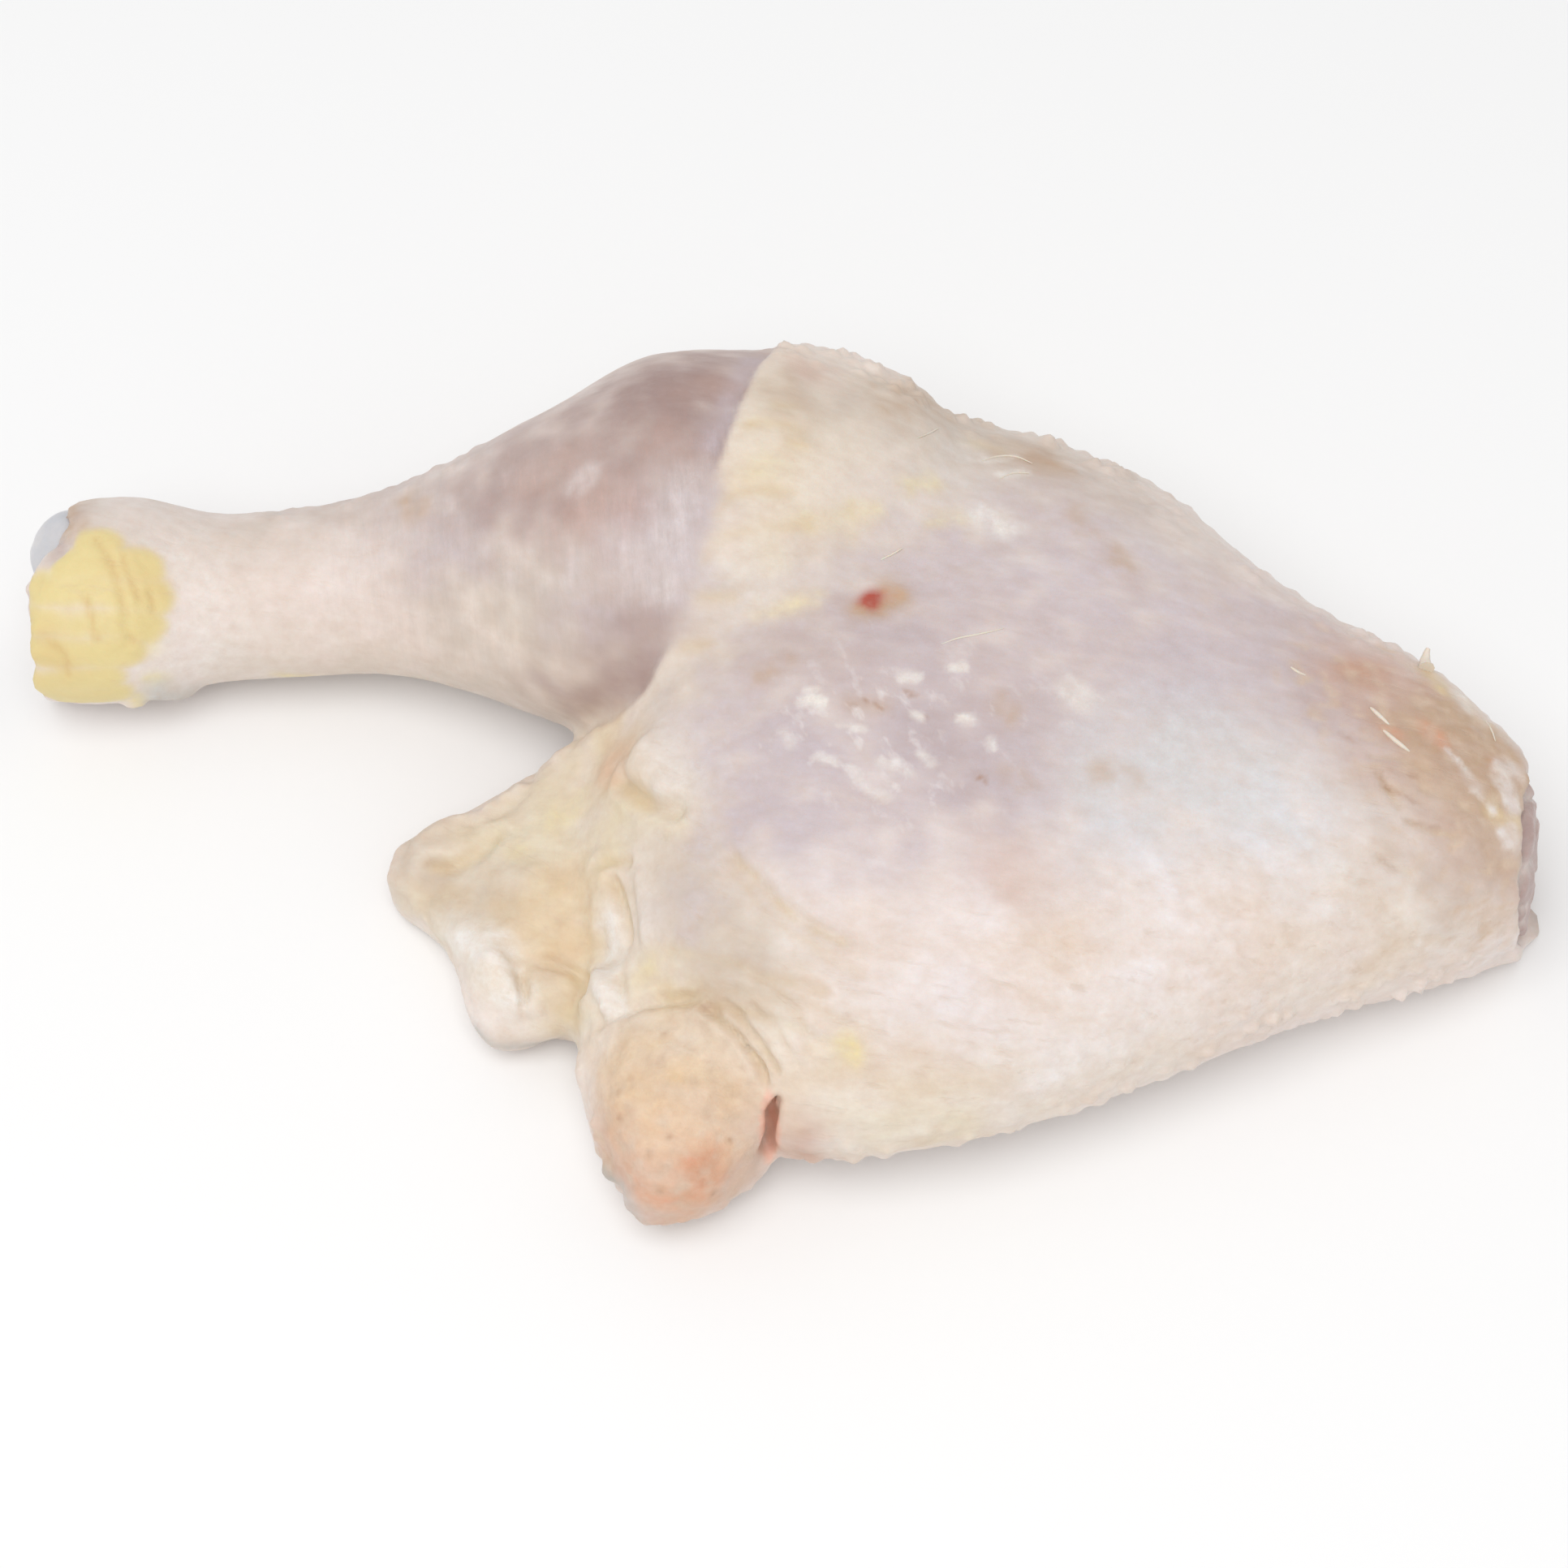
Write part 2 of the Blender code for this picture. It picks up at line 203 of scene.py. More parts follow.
def on_skin(pixel):
    """Where the skin shows at a pixel of the photograph, or at the nearest one inside its outline."""
    for ring in range(0, 90, 5):
        for turn in np.arange(16) * math.pi / 8:
            tried = (pixel[0] + ring * math.cos(turn), pixel[1] + ring * math.sin(turn))
            place = skin_tree.ray_cast(camera_place, sight_line(tried))[0]
            if place is not None:
                return np.array(place) / MM
    raise ValueError(f"no skin near pixel {pixel}")


def soft_noise(places, size, seed=0.0):
    """Smooth noise from about -1 to 1, with lumps of the given size in mm, or sizes along X, Y and Z."""
    return np.array([noise.noise(place) for place in places / np.array(size) + seed])


def from_line(places, line):
    """Distance in mm from a line of points, the vector from it, and the line's direction there."""
    best = np.full(len(places), np.inf)
    away = np.zeros_like(places)
    along = np.zeros_like(places)
    if len(line) == 1:
        away = places - line[0]
        return np.linalg.norm(away, axis=1), away, along
    for start, end in zip(line, line[1:]):
        step = end - start
        t = unit((places - start) @ step / (step @ step))
        off = places - start - t[:, None] * step
        distance = np.linalg.norm(off, axis=1)
        nearer = distance < best
        best = np.where(nearer, distance, best)
        away[nearer] = off[nearer]
        along[nearer] = step / np.linalg.norm(step)
    return best, away, along


def skin_line(pixels):
    """A softly bent line over the skin, from the x and y of its pixels in turn or a list of places in mm."""
    if isinstance(pixels, list):
        line = [np.array(place) for place in pixels]
    else:
        line = [on_skin(pixel) for pixel in zip(pixels[::2], pixels[1::2])]
    for _ in range(2):
        if len(line) > 2:
            made = [line[0]]
            for start, end in zip(line, line[1:]):
                made += [0.75 * start + 0.25 * end, 0.25 * start + 0.75 * end]
            line = made + [line[-1]]
    return line


# Noise that frays the edges of what is worked or coloured, coarse and fine
fray = np.stack([soft_noise(points, 5, seed) for seed in (3.1, 17.7, 31.9)], axis=1)
fray += 0.45 * np.stack([soft_noise(points, 1.9, seed) for seed in (5.3, 11.9, 41.2)], axis=1)


def spot(pixels, reach, power=2.0, ragged=0.0):
    """A soft mask round a line of pixels: 1 on the line, falling off over reach mm."""
    line = skin_line(pixels)
    margin = 2.6 * reach + 1.5 * ragged
    close = np.all((points > np.min(line, axis=0) - margin) & (points < np.max(line, axis=0) + margin), axis=1)
    mask = np.zeros(count)
    distance = from_line(points[close] + ragged * fray[close], line)[0]
    mask[close] = np.exp(-((distance / reach) ** power))
    return mask


relief = np.zeros(count)

# The thigh's skin laps over the drumstick's: a lip along the fold, faint in its middle, and a fine groove
FOLD = (955, 437, 940, 447, 928, 464, 918, 482, 905, 512, 893, 548, 881, 575, 872, 605, 866, 640, 861, 675,
        856, 705, 851, 735, 842, 765, 828, 790, 812, 817, 801, 842, 788, 861, 771, 876, 758, 888, 742, 896)
BEND = 25.0                 # mm round the fold in which its two sides are told apart
distance, away, along = from_line(points, skin_line(FOLD))
side = np.einsum("ij,ij->i", np.cross(along, away), normals)
on_thigh = distance * np.sign(side)
faint = spot((868, 630, 858, 700, 848, 745), 5.5, power=4)
lip = np.exp(-np.maximum(on_thigh, 0) / 6.0) * (distance < 30) / (1 + np.exp(-on_thigh / (0.35 + 0.6 * faint)))
relief += (0.6 - 0.25 * faint) * lip - 0.22 * (1 - 0.8 * faint) * np.exp(-(((on_thigh + 0.5) / 0.5) ** 2))
thigh_side = 1 / (1 + np.exp(-np.clip(on_thigh, -9, 9) / (0.3 + 1.1 * faint)))
over_fold = np.where(distance < BEND, thigh_side, 1.0)         # leaves out the drumstick's skin near the fold
under_fold = np.where(distance < BEND, 1 - thigh_side, 1.0)    # leaves out the thigh's

# Creases, each with its depth and half width in mm, how much ochre tint and painted shade its bottom gets, and its
# line of pixels
CREASES = (
    # in the flap
    (0.68, 1.1, 0.4, (528, 1067, 548, 1070, 567, 1065, 587, 1055, 600, 1046, 612, 1032)),
    (0.5, 2.2, 0.4, (530, 1100, 587, 1112, 620, 1128, 645, 1145, 668, 1164)),
    (0.9, 0.7, 0.7, (641, 1205, 646, 1218, 650, 1230)),
    (0.6, 0.9, 0.2, (676, 1186, 690, 1190, 706, 1200, 720, 1211, 733, 1230, 742, 1252)),
    (0.6, 0.8, 0.7, (766, 1206, 768, 1220, 766, 1236)),
    (0.9, 0.7, 1, (757, 1085, 764, 1104, 772, 1130, 778, 1158)),
    (0.5, 0.7, 0.6, (737, 1066, 757, 1063, 776, 1061)),
    (1.1, 1.1, 0.8, (766, 962, 782, 976, 805, 992, 836, 998)),
    (0.5, 1.1, 0.3, (652, 966, 640, 985, 610, 1008)),
    # over the thigh beside the flap and the tail
    (0.6, 0.9, 0.7, (903, 1058, 925, 1078, 955, 1111, 988, 1137, 1040, 1162)),
    (0.25, 0.8, 0.4, (905, 1075, 950, 1130, 1000, 1165, 1060, 1200)),
    (0.4, 0.8, 0.25, (840, 1232, 880, 1220, 930, 1222, 988, 1236, 1050, 1262)),
    (0.45, 0.8, 0.4, (880, 1240, 920, 1244, 975, 1262, 1014, 1282)),
    (0.4, 0.8, 0.4, (930, 1203, 975, 1210, 1014, 1223)),
    (0.3, 0.9, 0.4, (830, 1170, 880, 1180, 930, 1200, 980, 1240, 1000, 1290)),
    # round the top of the tail
    (0.7, 0.8, 0.4, (742, 1264, 763, 1252, 796, 1237, 850, 1232, 885, 1241)),
    (1, 0.55, 0.7, (870, 1244, 898, 1262, 918, 1284, 934, 1308, 945, 1334, 952, 1350)),
    (0.5, 0.6, 0.6, (895, 1235, 930, 1270, 956, 1318)),
    (0.4, 0.6, 0.4, (925, 1240, 960, 1272, 985, 1310)),
    (0.2, 0.7, 0.3, (780, 1300, 820, 1285, 860, 1290)),
    (0.25, 0.9, 0.3, (830, 1330, 860, 1320, 890, 1330, 905, 1355)),
    # in the scales of the hock, and round the shank beside them
    (0.3, 0.6, 0, (118, 668, 132, 684, 140, 700, 148, 725, 152, 755, 158, 790)),
    (0.2, 0.6, 0, (150, 690, 158, 712, 166, 730, 172, 745)),
    (0.25, 0.6, 0, (183, 732, 188, 748)),
    (0.25, 0.6, 0, (105, 735, 112, 760, 122, 790)),
    (0.25, 0.6, 0, (70, 790, 80, 805, 84, 830)),
    (0.12, 0.7, 0, (200, 665, 235, 690, 262, 730, 270, 770)),
    (0.12, 0.7, 0, (215, 655, 262, 690, 290, 740, 297, 780)),
    (0.12, 0.7, 0, (235, 650, 290, 690, 318, 730)),
    # at the hip end
    (0.3, 0.55, 0.35, (1700, 955, 1712, 975, 1722, 998)),
    (0.3, 0.55, 0.35, (1732, 1012, 1750, 1020, 1800, 1033)),
    (0.3, 0.55, 0.35, (1697, 1056, 1712, 1066, 1738, 1078)),
    (0.25, 0.55, 0.3, (1690, 932, 1730, 935, 1765, 952)),
    (0.25, 0.55, 0.3, (1752, 975, 1785, 984, 1812, 1000)),
    # over the knee
    (0.2, 1.2, 0.2, (925, 524, 955, 528, 988, 530)),
    (0.2, 1.3, 0.2, (868, 690, 885, 665, 915, 652, 1000, 648)),
    (0.2, 1, 0.2, (905, 606, 940, 602, 972, 606)),
    (0.2, 1.1, 0.2, (862, 740, 880, 736, 905, 738)),
)
# The bottom of each groove gets ochre tint and painted shade
groove_tint_and_shade = np.zeros(count)
for depth, width, ochre, pixels in CREASES:
    groove = spot(pixels, width, ragged=0.35)
    distance = from_line(points, skin_line(pixels))[0]
    shoulders = np.exp(-(((distance - 2.3 * width) / width) ** 2))
    relief += depth * (0.4 * shoulders - groove)
    groove_tint_and_shade = np.maximum(groove_tint_and_shade, ochre * groove)

# Lumps of fat and swellings, each with its height and half width in mm and its line of pixels
LUMPS = (
    # in the flap
    (1.5, 1.7, (604, 1190, 620, 1215, 636, 1243)),
    (0.9, 3, (572, 1150, 600, 1168)),
    (0.7, 0.9, (660, 1238, 662, 1246)),
    (0.8, 3, (682, 1215, 702, 1240)),
    (1.4, 1.8, (740, 1194, 742, 1215, 752, 1240)),
    (0.6, 1.6, (748, 1112, 754, 1140, 757, 1166)),
    (0.5, 1.6, (738, 1095, 736, 1140)),
    (0.6, 1.2, (788, 1082, 792, 1115, 797, 1150)),
    (0.9, 2.2, (545, 1018, 566, 1014)),
    (0.6, 1.6, (604, 1000, 618, 990)),
    (0.6, 1.6, (640, 974)),
    (0.7, 2, (680, 930, 700, 918)),
    (-0.7, 1.2, (656, 956)),
    (-0.5, 1.2, (582, 1012)),
    (0.5, 1.8, (492, 1080, 520, 1115, 550, 1150)),
    (0.5, 3.5, (625, 1060, 640, 1095)),
    (1.9, 3, (798, 930, 815, 948, 824, 968)),
    (0.4, 2, (752, 935, 745, 955)),
    (0.4, 2.2, (900, 1130, 950, 1165)),
    # in the tail
    (0.5, 2.6, (790, 1275, 860, 1270)),
    (0.8, 1.6, (716, 1308, 718, 1325)),
    (0.8, 1.2, (736, 1384, 738, 1396)),
    (0.7, 1.2, (748, 1438, 756, 1446)),
    (0.9, 1.6, (780, 1480, 785, 1498)),
    (0.8, 1.6, (930, 1456, 938, 1440)),
    (0.4, 2.4, (868, 1440, 850, 1400)),
    # under the hock, on the thigh's edge and in the calf
    (1.3, 1.6, (195, 852, 228, 850)),
    (1.1, 1.3, (182, 868, 170, 870)),
    (1.1, 1.3, (1286, 545, 1290, 548)),
    (-1, 4, (1100, 465, 1130, 482)),
    (-1.2, 3, (1868, 1172, 1858, 1180)),
    (0.25, 4.5, (700, 640, 620, 700)),
)
for height, width, pixels in LUMPS:
    relief += height * spot(pixels, width, ragged=0.5)

# Slow waves all over, and wrinkles that run round the shank, along the knee's fold and over the thigh
relief += 0.34 * soft_noise(points, 15, 2.2) + 0.16 * soft_noise(points, 6, 8.4)


def turned(places, turn):
    """Places turned about Z, so that stretched noise runs at an angle to X in plan."""
    c, s = math.cos(math.radians(turn)), math.sin(math.radians(turn))
    x, y, z = places.T
    return np.stack([c * x + s * y, c * y - s * x, z], axis=1)


THIGH_TURN = -14            # degrees from X, in plan, along which the thigh's skin is stretched


def wrinkles(turn, length, width, seed):
    """Fine folds that run at an angle to X in plan, sharp in their valleys."""
    folds = soft_noise(turned(points, turn) + 1.2 * fray, (length, width, width), seed)
    return np.abs(folds) ** 0.7 - 0.45


near_side = spot((1000, 1330, 1300, 1250, 1600, 1150, 1800, 1080), 17, power=4)
shank = spot((190, 740, 330, 750, 480, 740), 17, power=6)
knee = spot((960, 520, 930, 720), 11) * over_fold
thigh_left = spot((860, 950, 860, 1150, 980, 1230), 10)
flap = spot((540, 1090, 680, 1080, 680, 1220), 13, power=4)
tail = spot((800, 1310, 850, 1420, 760, 1440), 12, power=4)
hip_end = spot((1700, 850, 1800, 950, 1850, 1100), 15, power=4)
folds = near_side * 0.1 * wrinkles(THIGH_TURN, 13, 1.7, 3.3)
folds += shank * 0.07 * wrinkles(70, 8, 1.5, 9.1)
folds += knee * 0.14 * wrinkles(4, 12, 3, 1.7)
folds += thigh_left * 0.14 * wrinkles(-40, 12, 2, 7.9)
folds += flap * 0.12 * wrinkles(35, 8, 2.6, 4.4)
folds += tail * (0.14 * wrinkles(20, 4, 2, 6.6) + 0.16 * soft_noise(points, 1.9, 14))
folds += hip_end * (0.16 * wrinkles(-12, 8, 1.6, 12.2) + 0.16 * soft_noise(points, 2.2, 15.5))
edges = spot((727, 903, 658, 956, 618, 989, 572, 1015, 516, 1038, 483, 1085, 529, 1141, 579, 1230), 3)
edges += spot((711, 1309, 734, 1382, 740, 1428, 780, 1497, 895, 1494, 945, 1441), 3)
relief += 0.7 * edges * (np.abs(soft_noise(points, 2.6, 33)) - 0.2)
relief += folds + 0.5 * (flap + tail) * soft_noise(points, 3.4, 18.1) + 0.22 * tail * soft_noise(points, 1.4, 19.7)

# Goose bumps where the feathers grew, strongest along the thigh's edges and weak on the calf
BUMP_SPACING = 3.0
bumps = np.array([noise.voronoi(place)[0][0] for place in points / BUMP_SPACING + 4.0])
bumps = unit(1 - bumps / 0.62) ** 1.2
bumpy = 0.08 + 0.04 * near_side
bumpy += 1.5 * spot((1000, 436, 1060, 445, 1110, 475, 1170, 510, 1220, 530, 1300, 548, 1450, 620), 7)
bumpy += 0.9 * spot((1540, 700, 1600, 745, 1680, 770, 1800, 850, 1880, 960), 6)
bumpy += 1.6 * spot((1010, 1440, 1200, 1410, 1450, 1300, 1650, 1240, 1850, 1180), 6)
bumpy += 0.6 * spot((300, 655, 450, 610, 560, 560), 7)
relief += np.clip(bumpy, 0, 1.7) * bumps * np.clip(0.75 + 0.8 * soft_noise(points, 8, 60), 0.3, 1.1)

# The scales of the foot begin at the hock: small flat plates with grooves between them
SCALE_ROWS = ((104, 674, 128, 672), (80, 698, 180, 698), (46, 726, 190, 735), (40, 765, 180, 770),
              (46, 800, 156, 800), (52, 838, 134, 832), (66, 856, 140, 852))
scales = np.max([spot(row, 3, power=6, ragged=0.6) for row in SCALE_ROWS], axis=0)
cells = [noise.voronoi(place)[0] for place in turned(points, 20) / np.array((1.6, 1.3, 1.3)) + 9.0]
plates = np.array([cell[1] - cell[0] for cell in cells])
relief += scales * (0.25 - 0.08 * np.exp(-((plates / 0.14) ** 2)))

points += normals * (relief * outside)[:, None]

# Both cut edges are torn rather than straight: a point on each cut, the ways it faces, and mm of tear
HOCK_CORNER = np.array((-106.75, 35.0, 14.1))
HOCK_CUTS = (np.array((-0.970, -0.235, 0.066)), np.array((-0.875, 0.270, 0.402)))
HIP_CUT = np.array((104.95, -10.2, 16.4))
HIP_CUTS = (np.array((0.969, -0.184, 0.165)),)
for on_cut, cuts, depth in ((HOCK_CORNER, HOCK_CUTS, 1.1), (HIP_CUT, HIP_CUTS, 0.8)):
    inside = np.clip(np.min([-(points - on_cut) @ axis for axis in cuts], axis=0), 0.0, None)
    tear = 0.3 + 0.6 * soft_noise(points, 7, 21) + 0.7 * soft_noise(points, 2.6, 25)
    points -= cuts[0] * (depth * np.clip(tear, -0.2, 1.2) * np.exp(-((inside / 3.0) ** 2)))[:, None]

# The skin lies back from the knuckle and hangs over the rest of the bone, the slit beside the tail
# narrows downwards, and a corner of fat sticks out under the cut at the hip: mm moved along X, and reach
for moved, reach, pixels, where in (
    (1.8, 3.0, (62, 652, 60, 675), 1.0),
    (-1.0, 3.0, (48, 775, 52, 845), outside),
    (1.0, 2.2, (934, 1390, 936, 1425), 1.0),
    (-0.9, 2.2, (972, 1375, 968, 1405), 1.0),
    (2.4, 1.8, (1880, 1128, 1884, 1142), outside),
):
    points[:, 0] += moved * spot(pixels, reach) * where

points = reshaped(skin, points)
skin_tree = tree_of(skin)


# ---- Skin: its colours -------------------------------------------
# Muscle shows mauve through the thin skin of the calf and the thigh, fat shows cream and yellow,
# and the hip end, the tail and one spot on the thigh are flushed with blood. The scales are yellow.
masks = {}
patchy = {size: soft_noise(points, size, 50.0 + size) for size in (2, 4.5, 9)}


def paint(name, reach, strength, *lines, patch=0.5, grain=4.5, power=2.0, ragged=None, within=1.0):
    """Adds to a colour's mask round lines of pixels, more in some patches than in others."""
    mask = masks.setdefault(name, np.zeros(count))
    ragged = min(1.6, 0.7 * reach) if ragged is None else ragged
    for pixels in lines:
        added = within * strength * spot(pixels, reach, power, ragged)
        added *= np.clip(1 + patch * 1.6 * patchy[grain], 0.0, 1.3)
        mask += unit(added) * (1 - mask)


on_knee = partial(paint, within=over_fold)
on_calf = partial(paint, within=under_fold)
finely = partial(paint, grain=2.0)

# Fat under the skin of the knee, the flap and the near edge, and where it is thicker
on_knee("cream", 13, 0.95, (960, 470, 980, 560, 940, 640, 920, 720, 870, 800), patch=0.2)
paint("cream", 12, 0.8, (1120, 520, 1080, 600, 1020, 700), (1150, 560, 1200, 570))
paint("cream", 11, 0.9, (720, 930, 640, 1020, 560, 1080), (800, 960, 780, 1060, 800, 1200))
paint("cream", 10, 0.8, (620, 1150, 700, 1200), (850, 1180, 960, 1260, 1050, 1350))
paint("cream", 9, 0.6, (340, 830, 450, 840, 560, 860), (800, 1270, 850, 1330))
paint("cream", 8, 0.75, (620, 700, 690, 735, 660, 790), patch=0.4)
paint("cream", 12, 0.7, [(-21, 60, 20), (9, 62, 15), (39, 50, 15)])
paint("cream", 9, 0.6, (1060, 1380, 1250, 1360, 1400, 1320), (1650, 1190, 1750, 1160), patch=0.6, grain=9)
paint("butter", 6, 0.7, (728, 925, 690, 975, 640, 1030, 560, 1068), (520, 1110, 600, 1115, 700, 1180))
paint("butter", 7, 0.85, (685, 1060, 705, 1150), patch=0.2)
paint("butter", 6, 0.9, (680, 1205, 705, 1245), (770, 960, 750, 1060))
paint("butter", 7, 0.65, (860, 1130, 890, 1170), (860, 1000, 850, 1060))
paint("butter", 8, 0.22, (1060, 1400, 1200, 1380))
paint("butter", 6, 0.35, (880, 1170, 918, 1192), (1125, 1388, 1170, 1376))
on_knee("butter", 9, 0.28, (960, 520, 930, 610, 900, 700), (880, 780, 840, 850))

# Greyer skin where there is little fat under it, under the calf, over the thigh and at the hip, and painted shade
# along the top and lower edges and in the flap
paint("drab", 6, 0.4, (780, 1285, 830, 1285), (650, 1040, 672, 1020))
# painted shade along the top edges of the thigh and the knee, where the skin slopes away
paint("drab", 12, 0.66, (1200, 565, 1300, 590, 1420, 680), (1240, 560, 1330, 600))
on_knee("drab", 7, 0.6, (980, 490, 1080, 505, 1180, 520), (1180, 690, 1120, 700))
on_calf("drab", 10, 0.75, (700, 720, 640, 760, 560, 740), (850, 660, 800, 760))
paint("drab", 9, 0.7, (1740, 1060, 1700, 960, 1800, 1080), (850, 1100, 870, 1160, 890, 1200))
paint("drab", 8, 0.6, (960, 780, 1050, 720), (930, 860, 980, 900))
# painted shade along the top of the shank and the hock, and under the shank
paint("drab", 9, 0.5, (290, 650, 380, 640, 480, 630), (120, 640, 150, 640))
paint("drab", 8, 0.35, (300, 830, 420, 830, 560, 850))
paint("drab", 7, 0.4, (870, 800, 850, 850))
# painted shade in the flap, along a crease beside the thigh and along the calf's lower edge
paint("drab", 6, 0.6, (500, 1060, 530, 1090, 600, 1100), (890, 1180, 930, 1190))
on_calf("drab", 7, 0.6, (600, 860, 720, 850), (760, 830, 790, 820))

# Muscle that shows through thin skin: on the thigh, and darker in the calf
paint("lilac", 17, 0.92, (960, 900, 1100, 900, 1230, 890), (1180, 720, 1320, 760, 1420, 830))
paint("lilac", 12, 0.55, (940, 980, 1080, 1020, 1160, 970))
paint("lilac", 9, 0.22, (1060, 1230, 1180, 1260))
paint("lilac", 12, 0.75, (1300, 640, 1420, 740, 1550, 800))
paint("lilac", 9, 0.6, (880, 880, 900, 950), (1350, 900, 1480, 860), (1580, 790, 1640, 820))
on_calf("lilac", 9, 0.4, (760, 720, 790, 700), (860, 620, 840, 740), (480, 640, 560, 640))
paint("lilac", 9, 0.7, (1600, 830, 1560, 800), (1010, 790, 1100, 760), (1180, 900, 1230, 910))
paint("lilac", 5, 0.4, (810, 1125, 845, 1140), (1085, 1030, 1120, 1032), (1290, 1082, 1312, 1078))
paint("lilac", 7, 0.8, (1570, 790, 1620, 810), (1610, 870, 1680, 900))
on_calf("muscle", 13, 0.85, (640, 560, 740, 510, 830, 470, 910, 450))
on_calf("muscle", 9, 0.6, (600, 610, 720, 620, 820, 590), (840, 660, 800, 740))
on_calf("muscle", 5.5, 0.7, (790, 525, 870, 545), (740, 600, 800, 630), (850, 580, 830, 610))
on_calf("muscle", 7, 0.7, (690, 850, 780, 830))
paint("muscle", 9, 0.4, (1210, 905, 1250, 900), (1000, 800, 1090, 780))
paint("muscle", 12, 0.8, [(-40, 62, 18), (-15, 68, 20)], [(-60, 48, 14), (-50, 52, 14)])
paint("muscle", 6, 0.5, (1870, 980, 1885, 1080), (1850, 1035, 1872, 1090))
paint("muscle", 5.5, 0.35, (1630, 880, 1700, 905), (1740, 890, 1850, 950), (1665, 836, 1700, 850))
paint("muscle", 4, 0.5, (560, 640, 590, 660), (1140, 900, 1200, 960))
paint("muscle", 1.8, 0.5, (82, 645, 92, 636), (76, 668, 72, 680))
on_calf("deep", 8, 0.7, (790, 480, 860, 465, 920, 480), (850, 520, 880, 540))
on_calf("deep", 3.4, 0.95, (822, 480, 860, 478, 896, 484), patch=0.2, power=6)
on_calf("deep", 3, 0.4, (660, 610, 675, 585), (742, 595, 768, 575), (685, 618, 708, 632), (780, 765, 815, 760),
      (770, 820, 795, 840))
on_calf("deep", 3.5, 0.45, (815, 530, 870, 540), (775, 620, 800, 640))
on_calf("deep", 3, 0.25, (580, 632, 625, 645))
on_calf("deep", 4, 0.4, (640, 570, 600, 620), (730, 860, 800, 815))
paint("deep", 4.5, 0.22, (735, 545, 755, 535), (688, 612, 700, 602), (845, 482, 860, 478))
paint("violet", 7, 0.45, (1170, 895, 1240, 905), (1580, 815, 1620, 825), (860, 640, 850, 690))
on_calf("violet", 4.5, 0.35, (530, 695, 580, 675), (690, 770, 730, 750), (770, 640, 790, 660))
paint("violet", 5, 0.5, (1120, 900, 1160, 960), (1230, 985, 1240, 985), (960, 900, 1010, 930))
paint("violet", 6, 0.4, (1400, 780, 1460, 830), (1090, 760, 1120, 800), (900, 1010, 1000, 1020))
on_calf("violet", 2.4, 0.6, (932, 446, 910, 480, 895, 515, 880, 545), patch=0.2)

# Pale films over the calf, and a bluish sheen on the thigh
on_calf("haze", 2.4, 0.4, (868, 570, 855, 605, 845, 650, 832, 720), patch=0.3)
paint("haze", 1.8, 0.6, (818, 660, 814, 670), (818, 712, 816, 725), patch=0.3)
paint("haze", 4.5, 0.2, (548, 660, 572, 658), (632, 582, 650, 578), (775, 700, 788, 702))
paint("haze", 3, 0.35, (830, 590, 822, 640), (780, 690, 790, 720))
finely("haze", 2, 0.4, (532, 608, 565, 618), (640, 690, 630, 720), (700, 680, 690, 715), patch=0.7)
paint("haze", 1.1, 0.7, (702, 600, 728, 574, 734, 590, 716, 602), patch=0.3)
paint("bluish", 9, 0.7, (1390, 960, 1480, 990, 1580, 1000), (1450, 920, 1500, 930))
paint("bluish", 6, 0.3, (1370, 1020, 1380, 1040))

# Flecks of yellow fat
finely("yellow", 1.6, 0.45, (1120, 600, 1148, 594), (1155, 642, 1185, 634), (1050, 628, 1080, 632),
      (935, 756, 965, 747, 1005, 740), patch=0.6)
on_knee("yellow", 2.4, 0.3, (920, 585, 950, 576), (945, 680, 952, 700), (1000, 640, 1040, 650))
paint("yellow", 3.5, 0.5, (640, 1040, 665, 1020, 700, 1000), (795, 985, 835, 1005), (800, 1205, 830, 1215),
      patch=0.8)
finely("yellow", 3.5, 0.4, (1770, 840, 1815, 880), (690, 1110, 700, 1150), patch=0.8)
finely("yellow", 2.5, 0.3, (1205, 548, 1225, 552), (690, 1215, 700, 1240), patch=0.6)
paint("yellow", 1.8, 0.8, (185, 795, 188, 800), (190, 838, 195, 842), (172, 862, 178, 866), (350, 832, 378, 838),
      (1040, 1285, 1048, 1300))

# Blood under the skin at the hip end and in the tail, which is peach above
paint("pink", 4, 0.35, (650, 595, 690, 575), (700, 640, 715, 632), (745, 610, 765, 620), patch=0.4)
paint("pink", 3.5, 0.3, (866, 480, 886, 475), (820, 540, 835, 545), patch=0.4)
paint("pink", 7, 1, (1678, 832, 1710, 835, 1745, 858), patch=0.2)
paint("pink", 5.5, 0.6, (1710, 880, 1780, 920, 1840, 980))
paint("pink", 7, 0.3, (1700, 950, 1760, 1000), (1800, 1060, 1860, 1080))
paint("pink", 4, 0.5, (985, 450, 1010, 458), (1240, 1065, 1245, 1085))
paint("pink", 4, 0.8, (985, 1420, 990, 1400), patch=0.3)
paint("pink", 9, 0.12, (250, 700, 330, 740, 480, 760), grain=9)
paint("pink", 8, 1, (790, 1470, 850, 1465, 905, 1440), (770, 1430, 800, 1470), patch=0.2)
paint("peach", 11, 0.65, (790, 1330, 800, 1380, 840, 1420), (860, 1400, 860, 1430), patch=0.45)
# The peach in the valley above the flap's lower roll is partly painted shade
paint("peach", 5, 0.5, (710, 1090, 715, 1140), (690, 1180, 660, 1160), (750, 925, 775, 945))
